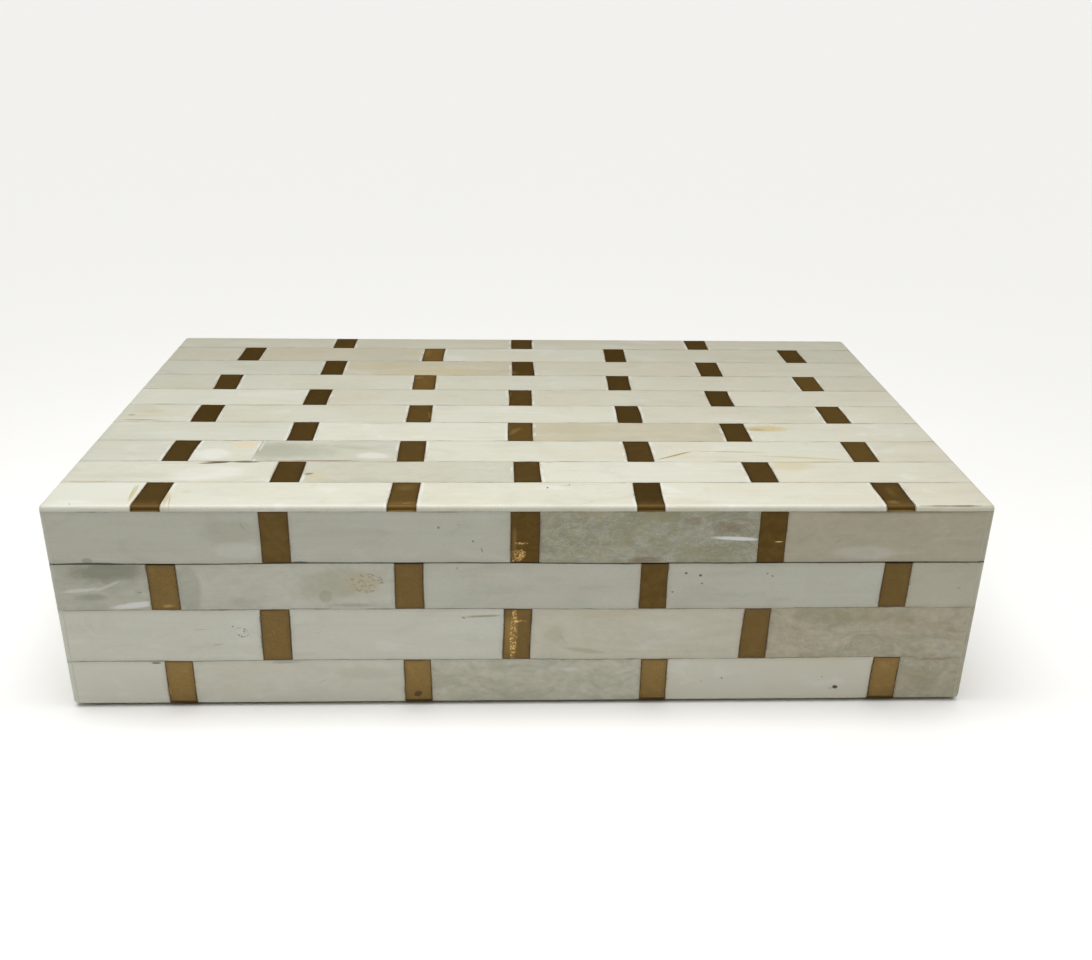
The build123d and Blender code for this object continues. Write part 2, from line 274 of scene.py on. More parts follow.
class Wires:
    """Short forms for wiring the nodes of one material."""

    def __init__(self, name):
        self.material = bpy.data.materials.new(name)
        self.material.use_nodes = True
        self.nodes = self.material.node_tree.nodes
        self.links = self.material.node_tree.links
        self.shader = self.nodes["Principled BSDF"]

    def plug(self, socket, value):
        if isinstance(value, bpy.types.NodeSocket):
            self.links.new(value, socket)
        else:
            socket.default_value = value

    def add(self, kind, output, inputs, **settings):
        """A new node's output, by name, with its inputs plugged in."""
        node = self.nodes.new(kind)
        for name, value in settings.items():
            setattr(node, name, value)
        for name, value in inputs.items():
            self.plug(node.inputs[name], value)
        return node.outputs[output]

    def math(self, operation, first, second=0.0, third=0.0):
        inputs = {0: first, 1: second, 2: third}
        return self.add("ShaderNodeMath", 0, inputs, operation=operation)

    def times(self, first, second):
        return self.math("MULTIPLY", first, second)

    def plus(self, first, share, second):
        """second and a share of first added up."""
        return self.math("MULTIPLY_ADD", first, share, second)

    def vector(self, operation, first, second=(0, 0, 0), output=0):
        inputs = {0: first, 1: second}
        return self.add("ShaderNodeVectorMath", output, inputs, operation=operation)

    def split(self, vector):
        """A vector's three parts."""
        node = self.nodes.new("ShaderNodeSeparateXYZ")
        self.plug(node.inputs[0], vector)
        return node.outputs

    def ramp(self, value, low, high, to_low=0.0, to_high=1.0):
        """value eased from to_low at low to to_high at high."""
        inputs = {"Value": value, "From Min": low, "From Max": high}
        inputs |= {"To Min": to_low, "To Max": to_high}
        return self.add("ShaderNodeMapRange", 0, inputs, interpolation_type="SMOOTHSTEP")

    def mix(self, share, low, high):
        """Two colours mixed."""
        inputs = {0: share, 6: self.solid(low), 7: self.solid(high)}
        return self.add("ShaderNodeMix", 2, inputs, data_type="RGBA")

    def solid(self, value):
        return value if isinstance(value, bpy.types.NodeSocket) else (*value, 1.0)

    def noise(self, place, scale, detail=3.0, roughness=0.5, distortion=0.0):
        """Soft noise, with about this many waves to the millimetre along each axis."""
        inputs = {"Vector": self.vector("MULTIPLY", place, scale), "Scale": 1.0, "Detail": detail}
        inputs |= {"Roughness": roughness, "Distortion": distortion}
        return self.add("ShaderNodeTexNoise", "Fac", inputs)

    def noise_vector(self, place, scale, detail):
        """Soft noise in three directions, about zero, to bend a pattern with."""
        inputs = {"Vector": self.vector("MULTIPLY", place, scale), "Scale": 1.0, "Detail": detail}
        noise = self.add("ShaderNodeTexNoise", "Color", inputs)
        return self.vector("SUBTRACT", noise, (0.5, 0.5, 0.5))

    def cells(self, place, scale, feature="F1"):
        """How far the middle of the nearest cell is."""
        inputs = {"Vector": self.vector("MULTIPLY", place, scale), "Scale": 1.0}
        return self.add("ShaderNodeTexVoronoi", "Distance", inputs, feature=feature)

    def near_half(self, value, wide, narrow=0.0):
        """1 along the thin lines where a noise crosses its middle, and 0 away from them."""
        return self.ramp(self.math("ABSOLUTE", self.math("SUBTRACT", value, 0.5)), wide, narrow)

    def attribute(self, name, output="Fac"):
        node = self.nodes.new("ShaderNodeAttribute")
        node.attribute_name = name
        return node.outputs[output]

    def object_place(self):
        """Object coordinates in millimetres."""
        place = self.add("ShaderNodeTexCoord", "Object", {})
        return self.vector("MULTIPLY", place, (1 / MM,) * 3)

    def bump(self, height, distance):
        return self.add("ShaderNodeBump", 0, {"Height": height, "Distance": distance})

    def draw_marks(self, laid, base, count, flakes):
        """The tile's marks, with the painted highlights on the brass, drawn over a base colour,
        and how far they cover it.

        A mark is an oval, and its softness says how ragged and faded its outline is. The
        least soft kinds, below about 0.2, show only where there are flakes.
        """
        ragged = self.math("SUBTRACT", self.noise(laid, (0.13, 0.13, 1.0), 8.0, 0.72), 0.5)
        ragged = self.times(ragged, 2.0)
        cover = 0.0
        for number in range(count):
            place = self.attribute(f"mark_{number}_place", "Vector")
            reach = self.attribute(f"mark_{number}_reach", "Vector")
            tint = self.attribute(f"mark_{number}_tint", "Color")
            soft = self.attribute(f"mark_{number}_tint", "Alpha")
            turn, strength = self.split(place)[2], self.split(reach)[2]
            inputs = {"Vector": self.vector("SUBTRACT", laid, place), "Angle": turn}
            turned = self.add("ShaderNodeVectorRotate", 0, inputs, rotation_type="Z_AXIS")
            flat = self.vector("MULTIPLY", turned, (1, 1, 0))
            away = self.vector("LENGTH", self.vector("DIVIDE", flat, reach), output="Value")
            away = self.plus(ragged, soft, away)
            inside = self.math("DIVIDE", self.math("SUBTRACT", 1.0, away), soft)
            share = self.times(self.ramp(inside, 0.0, 1.0), strength)
            whole = self.ramp(soft, 0.15, 0.25)
            share = self.times(share, self.math("MAXIMUM", flakes, whole))
            base = self.mix(share, base, tint)
            cover = self.math("MAXIMUM", cover, share)
        return base, cover

    def finish(self, **sockets):
        for name, value in sockets.items():
            self.plug(self.shader.inputs[name.replace("_", " ")], value)
        return self.material


def tile_wires(name):
    """Wires for a tile: its coordinates, its own noise space and how far its joints are."""
    w = Wires(name)
    laid = w.add("ShaderNodeUVMap", 0, {}, uv_map="laid")
    along, across, _ = w.split(laid)
    depth = w.times(w.attribute("seed"), 90.0)
    place = w.add("ShaderNodeCombineXYZ", 0, {0: along, 1: across, 2: depth})
    from_low = w.vector("SUBTRACT", laid, w.attribute("low_edge", "Vector"))
    from_high = w.vector("SUBTRACT", w.attribute("high_edge", "Vector"), laid)
    ends, edges, _ = w.split(w.vector("MINIMUM", from_low, from_high))
    return w, laid, place, ends, edges


# Materials --------------------------------------------------------------------------


def bone_material(look):
    """Polished bone: clouds, streaks, figure, pores, hairlines, stains and dirty joints."""
    w, laid, place, ends, edges = tile_wires("polished bone")
    shade, warmth = w.attribute("shade"), w.attribute("warmth")
    figure, pores, stain = w.attribute("figure"), w.attribute("pores"), w.attribute("stain")
    hairs, dust, in_joint = w.attribute("hairs"), w.attribute("dust"), w.attribute("in_joint")

    # Clean bone, from warm to grey.
    cloud = w.noise(place, (0.03, 0.09, 1.0), 4.0, 0.55, 0.6)
    streak = w.noise(place, (0.02, 0.55, 1.0), 5.0, 0.6)
    grain = w.noise(place, (0.5, 3.0, 1.0), 3.0, 0.6)
    soft_patch = w.noise(place, (0.06, 0.13, 4.0), 5.0, 0.6, 0.8)
    warm_share = w.plus(w.ramp(cloud, 0.35, 0.7), 0.22, warmth)
    clean = w.mix(warm_share, look.bone, look.bone_warm)
    clean = w.mix(w.ramp(soft_patch, 0.45, 0.30, 0.0, 0.35), clean, look.bone_pale)
    speckle = w.noise(place, (1.6, 2.4, 3.0), 4.0, 0.7)
    # The shade attribute also carries the top's painted shade towards the back.
    grey_share = w.plus(w.ramp(streak, 0.42, 0.72), 0.05, shade)
    grey_share = w.plus(w.ramp(speckle, 0.45, 0.75), 0.12, grey_share)
    grey_share = w.plus(w.ramp(soft_patch, 0.50, 0.72), 0.12, grey_share)
    clean = w.mix(grey_share, clean, look.bone_grey)

    # Figure: grey mottling, curdled spots, pale veins and brown clouds.
    mottle = w.noise(place, (0.10, 0.17, 1.0), 9.0, 0.70, 1.4)
    figure_share = w.times(w.ramp(mottle, 0.40, 0.66), figure)
    figured = w.mix(w.times(figure_share, 0.75), clean, look.bone_grey)
    bent = w.vector("ADD", place, w.noise_vector(place, (0.35, 0.5, 2.0), 3.0))
    curdle = w.ramp(w.cells(bent, (0.45, 0.6, 1.0), feature="SMOOTH_F1"), 0.15, 0.60)
    curdle_share = w.times(curdle, w.times(figure, 0.34))
    figured = w.mix(curdle_share, figured, look.olive)
    veins = w.noise(place, (0.16, 0.26, 6.0), 6.0, 0.62, 1.8)
    vein_share = w.times(w.near_half(veins, 0.035), w.times(figure, 0.20))
    figured = w.mix(vein_share, figured, look.bone)
    brown = w.noise(place, (0.16, 0.28, 2.0), 7.0, 0.7, 0.8)
    brown_share = w.times(w.ramp(brown, 0.56, 0.72), w.times(figure, 0.28))
    figured = w.mix(brown_share, figured, look.brown)

    # Stains and the tile's own marks.
    stain_noise = w.noise(place, (0.06, 0.22, 3.0), 4.0, 0.55, 1.0)
    stain_share = w.times(w.ramp(stain_noise, 0.52, 0.70), stain)
    stained = w.mix(stain_share, figured, look.stain)
    specks = w.ramp(w.noise(place, (0.9, 1.4, 7.0), 4.0, 0.7), 0.53, 0.60)
    marked, covered = w.draw_marks(laid, stained, BONE_MARKS_EACH, specks)

    # Pores and hairlines, in patches.
    pore_cell = w.cells(place, (0.75, 2.0, 1.0))
    pore_where = w.ramp(w.noise(place, (0.07, 0.18, 5.0), 2.0), 0.50, 0.62)
    pore_pick = w.ramp(w.noise(place, (1.1, 2.3, 9.0), 1.0), 0.56, 0.60)
    pore = w.times(w.ramp(pore_cell, 0.22, 0.10), w.times(pore_where, pore_pick))
    pore = w.times(pore, pores)
    line_noise = w.noise(place, (0.018, 0.11, 7.0), 2.0, 0.5, 0.4)
    line_where = w.ramp(w.noise(place, (0.04, 0.1, 11.0), 2.0), 0.54, 0.64)
    line = w.times(w.near_half(line_noise, 0.0045, 0.0015), w.times(line_where, hairs))
    marked = w.mix(w.math("MAXIMUM", w.times(pore, 0.8), line), marked, look.brown)

    # Joints: dirt, a faint dark halo, and pale bone dust at the tile's ends.
    joint_noise = w.noise(place, (0.10, 0.30, 13.0), 5.0, 0.72)
    joint_width = w.ramp(joint_noise, 0.38, 0.72, 0.10, 0.36)
    nearest = w.math("MINIMUM", ends, edges)
    dirt = w.ramp(w.math("DIVIDE", nearest, joint_width), 1.0, 0.15)
    dirt = w.times(dirt, w.ramp(joint_noise, 0.36, 0.72, 0.15, 0.85))
    dirt = w.times(dirt, w.plus(in_joint, -0.85, 1.0))
    halo = w.ramp(nearest, 1.6, 0.0, 0.0, 0.10)
    halo = w.times(halo, w.plus(dust, -0.8, 1.0))
    pale_where = w.ramp(w.noise(place, (0.3, 0.16, 15.0), 3.0), 0.42, 0.58)
    pale = w.times(w.ramp(ends, 1.1, 0.5), w.times(pale_where, dust))
    dusted = w.mix(w.times(pale, 0.9), marked, look.bone_pale)
    coloured = w.mix(w.math("MAXIMUM", dirt, halo), dusted, look.dirt_and_shadow)

    # Polish: fine grain, with sunk pores and hairlines, and figure that takes less polish.
    height = w.plus(grain, 0.25, w.times(streak, 0.6))
    height = w.math("SUBTRACT", height, w.times(pore, 1.5))
    height = w.math("SUBTRACT", height, w.times(line, 1.2))
    rough = w.plus(grain, 0.12, 0.34)
    rough = w.plus(w.math("MAXIMUM", figure_share, covered), 0.14, rough)
    normal = w.bump(height, 0.03 * MM)
    return w.finish(Base_Color=coloured, Roughness=rough, Normal=normal, IOR=1.5)


def brass_material(look):
    """Aged brass: drawn lines along the strip, tarnish, dirty edges and bright scratches."""
    w, laid, place, ends, edges = tile_wires("aged brass")
    tone, on_edge = w.attribute("tone"), w.attribute("arris")

    # Tarnished brass, lifted where it is worn and by the tile's tone, which on the top is partly
    # painted light.
    drawn = w.noise(place, (0.5, 7.0, 1.0), 4.0, 0.6)
    blotch = w.noise(place, (0.30, 0.35, 3.0), 5.0, 0.6, 0.5)
    speckle = w.noise(place, (2.6, 2.6, 5.0), 4.0, 0.7)
    tarnish = w.math("SUBTRACT", w.ramp(blotch, 0.30, 0.75, 0.0, 0.35), tone)
    base = w.mix(tarnish, look.brass, look.brass_dark)
    lift = w.plus(tone, 0.35, w.ramp(drawn, 0.42, 0.75, 0.0, 0.08))
    lift = w.plus(w.ramp(speckle, 0.42, 0.75), 0.12, lift)
    lift = w.plus(w.ramp(blotch, 0.48, 0.72), 0.10, lift)
    base = w.mix(lift, base, look.brass_worn_and_lit)

    # The tile's own bright scratches and flakes, and, on the top's tiles, gold marks that are
    # painted highlights.
    flakes = w.noise(place, (1.7, 1.9, 7.0), 6.0, 0.75, 0.4)
    flaked = w.ramp(flakes, 0.50, 0.60, 0.06, 0.80)
    base, scratches_and_highlights = w.draw_marks(laid, base, BRASS_MARKS_EACH, flaked)

    # A dirty rim, a painted shadow along the tile's edges, and a rounded outer edge that is
    # rougher and painted darker, as painted shade that hides its reflection.
    nearest = w.math("MINIMUM", ends, edges)
    rim_noise = w.noise(place, (0.5, 0.5, 5.0), 4.0, 0.65)
    rim_width = w.ramp(rim_noise, 0.3, 0.7, 0.25, 0.65)
    rim = w.ramp(w.math("DIVIDE", nearest, rim_width), 1.0, 0.25, 0.0, 0.92)
    shadow = w.ramp(nearest, 1.5, 0.0, 0.0, 0.26)
    base = w.mix(w.math("MAXIMUM", rim, shadow), base, look.dirt_and_shadow)
    # Painted shade: the rounded outer edge is darkened so that it shows no reflection.
    base = w.mix(w.times(on_edge, 0.80), base, look.brass_dark)

    rough = w.plus(drawn, 0.16, 0.30)
    rough = w.plus(scratches_and_highlights, -0.06, rough)
    rough = w.plus(on_edge, 0.25, rough)
    height = w.plus(drawn, 0.22, w.times(blotch, 0.5))
    return w.finish(
        Base_Color=base,
        Metallic=1.0,
        Roughness=rough,
        Specular_Tint=(0.75, 0.56, 0.32, 1.0),
        Normal=w.bump(height, 0.02 * MM),
    )


def filler_material(look):
    """Bone dust and glue in the joints, dark where it has caught dirt, pale at the corners."""
    w = Wires("joint filler")
    place = w.object_place()
    patch = w.noise(place, (0.06, 0.06, 0.06), 5.0, 0.65)
    fine = w.noise(place, (1.5, 1.5, 1.5), 3.0, 0.6)
    share = w.ramp(w.plus(fine, 0.25, patch), 0.45, 0.80, 0.08, 0.75)
    from_middle = w.split(w.vector("ABSOLUTE", place))[0]
    at_corner = w.ramp(from_middle, (HIGH.x - 2.5 * TILE) / MM, (HIGH.x - 2 * TILE) / MM)
    share = w.times(share, w.math("SUBTRACT", 1.0, at_corner))
    corner_tone = w.mix(0.35, look.bone, look.bone_grey)
    base = w.mix(share, w.mix(at_corner, look.bone_warm, corner_tone), look.dirt_and_shadow)
    return w.finish(Base_Color=base, Roughness=0.85, Normal=w.bump(fine, 0.05 * MM))


def wood_material(look, name, turn):
    """Oiled hardwood with its grain along X, or turned a quarter to run along Y."""
    w = Wires(name)
    place = w.add("ShaderNodeMapping", 0, {"Vector": w.object_place(), "Rotation": (0, 0, turn)})
    bend = w.noise(place, (0.008, 0.03, 0.03), 3.0, 0.5)
    rings = w.noise(place, (0.004, 0.22, 0.22), 6.0, 0.6, 0.3)
    fine = w.noise(place, (0.05, 3.2, 3.2), 6.0, 0.7)
    pores = w.noise(place, (0.30, 4.6, 4.6), 2.0, 0.6)
    share = w.plus(w.ramp(rings, 0.36, 0.66), 0.7, w.times(fine, 0.3))
    base = w.mix(share, look.light, look.dark)
    base = w.mix(w.ramp(bend, 0.35, 0.7, 0.0, 0.35), base, look.dark)
    pore = w.ramp(pores, 0.60, 0.67, 0.0, 0.65)
    base = w.mix(pore, base, tuple(0.4 * c for c in look.dark))
    height = w.math("SUBTRACT", w.times(fine, 0.5), pore)
    rough = w.plus(fine, 0.2, 0.42)
    return w.finish(Base_Color=base, Roughness=rough, Normal=w.bump(height, 0.06 * MM))


def metal_material(name, tone, dark, roughness):
    """Plain worked metal with brushed lines and a little tarnish."""
    w = Wires(name)
    place = w.object_place()
    lines = w.noise(place, (0.5, 6.0, 6.0), 4.0, 0.6)
    spots = w.noise(place, (0.5, 0.5, 0.5), 5.0, 0.65)
    base = w.mix(w.ramp(spots, 0.45, 0.75, 0.0, 0.55), tone, dark)
    rough = w.plus(lines, 0.18, roughness - 0.09)
    return w.finish(
        Base_Color=base, Metallic=1.0, Roughness=rough, Normal=w.bump(lines, 0.01 * MM)
    )


def felt_material(look):
    """Wool felt: matted fibres with a soft sheen."""
    w = Wires("felt")
    place = w.object_place()
    fibres = w.noise(place, (2.5, 2.5, 2.5), 8.0, 0.8, 2.5)
    clumps = w.noise(place, (0.25, 0.25, 0.25), 3.0, 0.5)
    light = tuple(min(1.0, 2.2 * c) for c in look.felt)
    share = w.plus(clumps, 0.4, w.ramp(fibres, 0.4, 0.7, 0.0, 0.5))
    base = w.mix(share, look.felt, light)
    return w.finish(
        Base_Color=base,
        Roughness=0.95,
        Sheen_Weight=0.35,
        Sheen_Roughness=0.5,
        Normal=w.bump(fibres, 0.25 * MM),
    )


# Tiles ------------------------------------------------------------------------------

# The pieces that stand out, by face, strip and piece, and the clean bone that they start
# from. The top's strips count from the front and the sides' strips from the lid down. Pieces
# count from the left, or from the front on the short sides.
CLEAN = {"shade": 0.0, "warmth": 0.0, "figure": 0.0, "pores": 0.3, "stain": 0.0, "hairs": 0.0}
BONE_LOOKS = {
    ("front", 1, 1): {"shade": 0.35, "pores": 0.2},
    ("front", 1, 2): {"shade": 0.34, "pores": 0.5},
    ("front", 1, 3): {"shade": 0.62, "warmth": 0.32, "figure": 1.3, "stain": 0.15},
    ("front", 1, 4): {"shade": 0.43, "warmth": 0.87, "pores": 0.2, "figure": 0.25},
    ("front", 2, 1): {"shade": 0.36, "figure": 0.35},
    ("front", 2, 2): {"shade": 0.22, "figure": 0.22, "stain": 0.08, "pores": 0.3},
    ("front", 2, 3): {"shade": 0.31, "pores": 0.2},
    ("front", 2, 4): {"shade": 0.31, "warmth": 0.08, "pores": 0.5},
    ("front", 2, 5): {"shade": 0.34, "warmth": 0.55, "pores": 0.4},
    ("front", 3, 1): {"shade": 0.04, "pores": 0.3},
    ("front", 3, 2): {"shade": 0.04, "pores": 0.2},
    ("front", 3, 3): {"shade": 0.05, "warmth": 0.35, "figure": 0.16},
    ("front", 3, 4): {"shade": 0.31, "warmth": 1.0, "figure": 0.80, "pores": 0.3},
    ("front", 4, 1): {"shade": -0.04, "warmth": 0.05, "pores": 0.2},
    ("front", 4, 2): {"shade": -0.10, "warmth": 0.20, "pores": 0.3, "figure": 0.12},
    ("front", 4, 3): {"shade": 0.13, "warmth": 0.25, "figure": 0.55, "pores": 0.2},
    ("front", 4, 4): {"shade": -0.12, "warmth": 0.25, "pores": 0.3},
    ("front", 4, 5): {"shade": 0.34, "warmth": 1.0, "figure": 0.80},
    ("left", 1, 1): {"shade": 0.33},
    ("left", 2, 1): {"shade": 0.34, "figure": 0.25},
    ("left", 3, 1): {"shade": 0.04},
    ("left", 4, 1): {"warmth": 0.05},
    ("right", 1, 1): {"shade": 0.46, "warmth": 0.85, "figure": 0.12},
    ("right", 2, 1): {"shade": 0.34, "warmth": 0.55},
    ("right", 3, 1): {"shade": 0.38, "warmth": 0.95, "figure": 0.50},
    ("right", 4, 1): {"shade": 0.42, "warmth": 1.0, "figure": 0.45},
    ("top", 1, 1): {"shade": -0.07},
    ("top", 1, 4): {"warmth": 0.08},
    ("top", 1, 5): {"shade": 0.02, "warmth": 0.14},
    ("top", 2, 2): {"shade": 0.27, "warmth": 0.10, "figure": 0.16, "pores": 0.3},
    ("top", 2, 4): {"warmth": 0.16},
    ("top", 3, 1): {"shade": 0.14},
    ("top", 3, 3): {"shade": 0.27},
    ("top", 3, 5): {"warmth": 0.04},
    ("top", 3, 6): {"warmth": 0.10},
    ("top", 4, 3): {"shade": 0.18, "warmth": 0.60, "figure": 0.10},
    ("top", 4, 4): {"shade": -0.06, "warmth": 0.06},
    ("top", 4, 2): {"shade": -0.06, "pores": 0.2},
    ("top", 5, 1): {"warmth": 0.12, "pores": 0.6},
    ("top", 5, 3): {"shade": -0.05},
    ("top", 5, 5): {"shade": -0.10, "warmth": 0.12},
    ("top", 6, 1): {"shade": -0.07},
    ("top", 6, 4): {"shade": -0.05, "warmth": 0.08},
    ("top", 7, 3): {"shade": 0.0},
    ("top", 8, 2): {"shade": 0.12, "warmth": 0.55},
    ("top", 8, 3): {"shade": 0.06, "warmth": 0.10},
    ("top", 9, 1): {"shade": 0.10, "warmth": 0.12},
    ("top", 9, 2): {"shade": 0.12, "warmth": 0.40},
    ("top", 9, 3): {"shade": -0.05},
}

# How bright each brass tile is, from -1, dull, to 1. On the top, (4, 2), (7, 2) and (9, 2) are
# bright partly from the brass's own polish and partly as a painted reflection of the light that
# they catch.
BRASS_TONES = {
    ("front", 1, 1): -0.50,
    ("front", 1, 2): -0.75,
    ("front", 1, 3): -0.75,
    ("front", 2, 2): -0.20,
    ("front", 2, 3): -0.65,
    ("front", 2, 4): -0.25,
    ("front", 3, 1): -0.10,
    ("front", 3, 2): -0.20,
    ("front", 3, 3): -0.25,
    ("front", 4, 1): 0.22,
    ("front", 4, 2): 0.16,
    ("front", 4, 3): 0.12,
    ("front", 4, 4): 0.20,
    ("top", 1, 2): 0.60,
    ("top", 1, 3): -0.20,
    ("top", 1, 4): 0.25,
    ("top", 2, 2): 0.25,
    ("top", 3, 2): 0.45,
    ("top", 3, 4): 0.65,
    ("top", 4, 2): 0.80,
    ("top", 5, 2): 0.65,
    ("top", 5, 4): 0.55,
    ("top", 6, 2): 0.30,
    ("top", 7, 1): 0.10,
    ("top", 7, 2): 1.5,
    ("top", 7, 4): 0.75,
    ("top", 8, 1): 0.05,
    ("top", 8, 2): 0.10,
    ("top", 9, 2): 1.6,
    ("top", 10, 1): 0.15,
    ("top", 10, 2): 0.20,
    ("top", 10, 3): 0.05,
}

# The colour and the softness of each kind of mark.
MARK_KINDS = {
    "grey": ("bone_grey", 0.75),
    "patch": ("bone_grey", 0.30),
    "amber": ("stain", 0.60),
    "olive": ("olive", 0.70),
    "cream": ("bone_warm", 0.30),
    "white": ("bone_pale", 0.50),
    "brown": ("brown", 0.60),
    "specks": ("brown", 0.12),
    "pit": ("dirt_and_shadow", 0.45),
    # Gold marks on the top's brass are painted highlights.
    "gold": ("brass_bright", 0.90),
    "flake": ("brass_bright", 0.10),
    "dull": ("brass_dark", 0.50),
}
NO_MARK = ("grey", 0, 0, 1, 1, 0.0)
BONE_MARKS_EACH = 7
BRASS_MARKS_EACH = 3

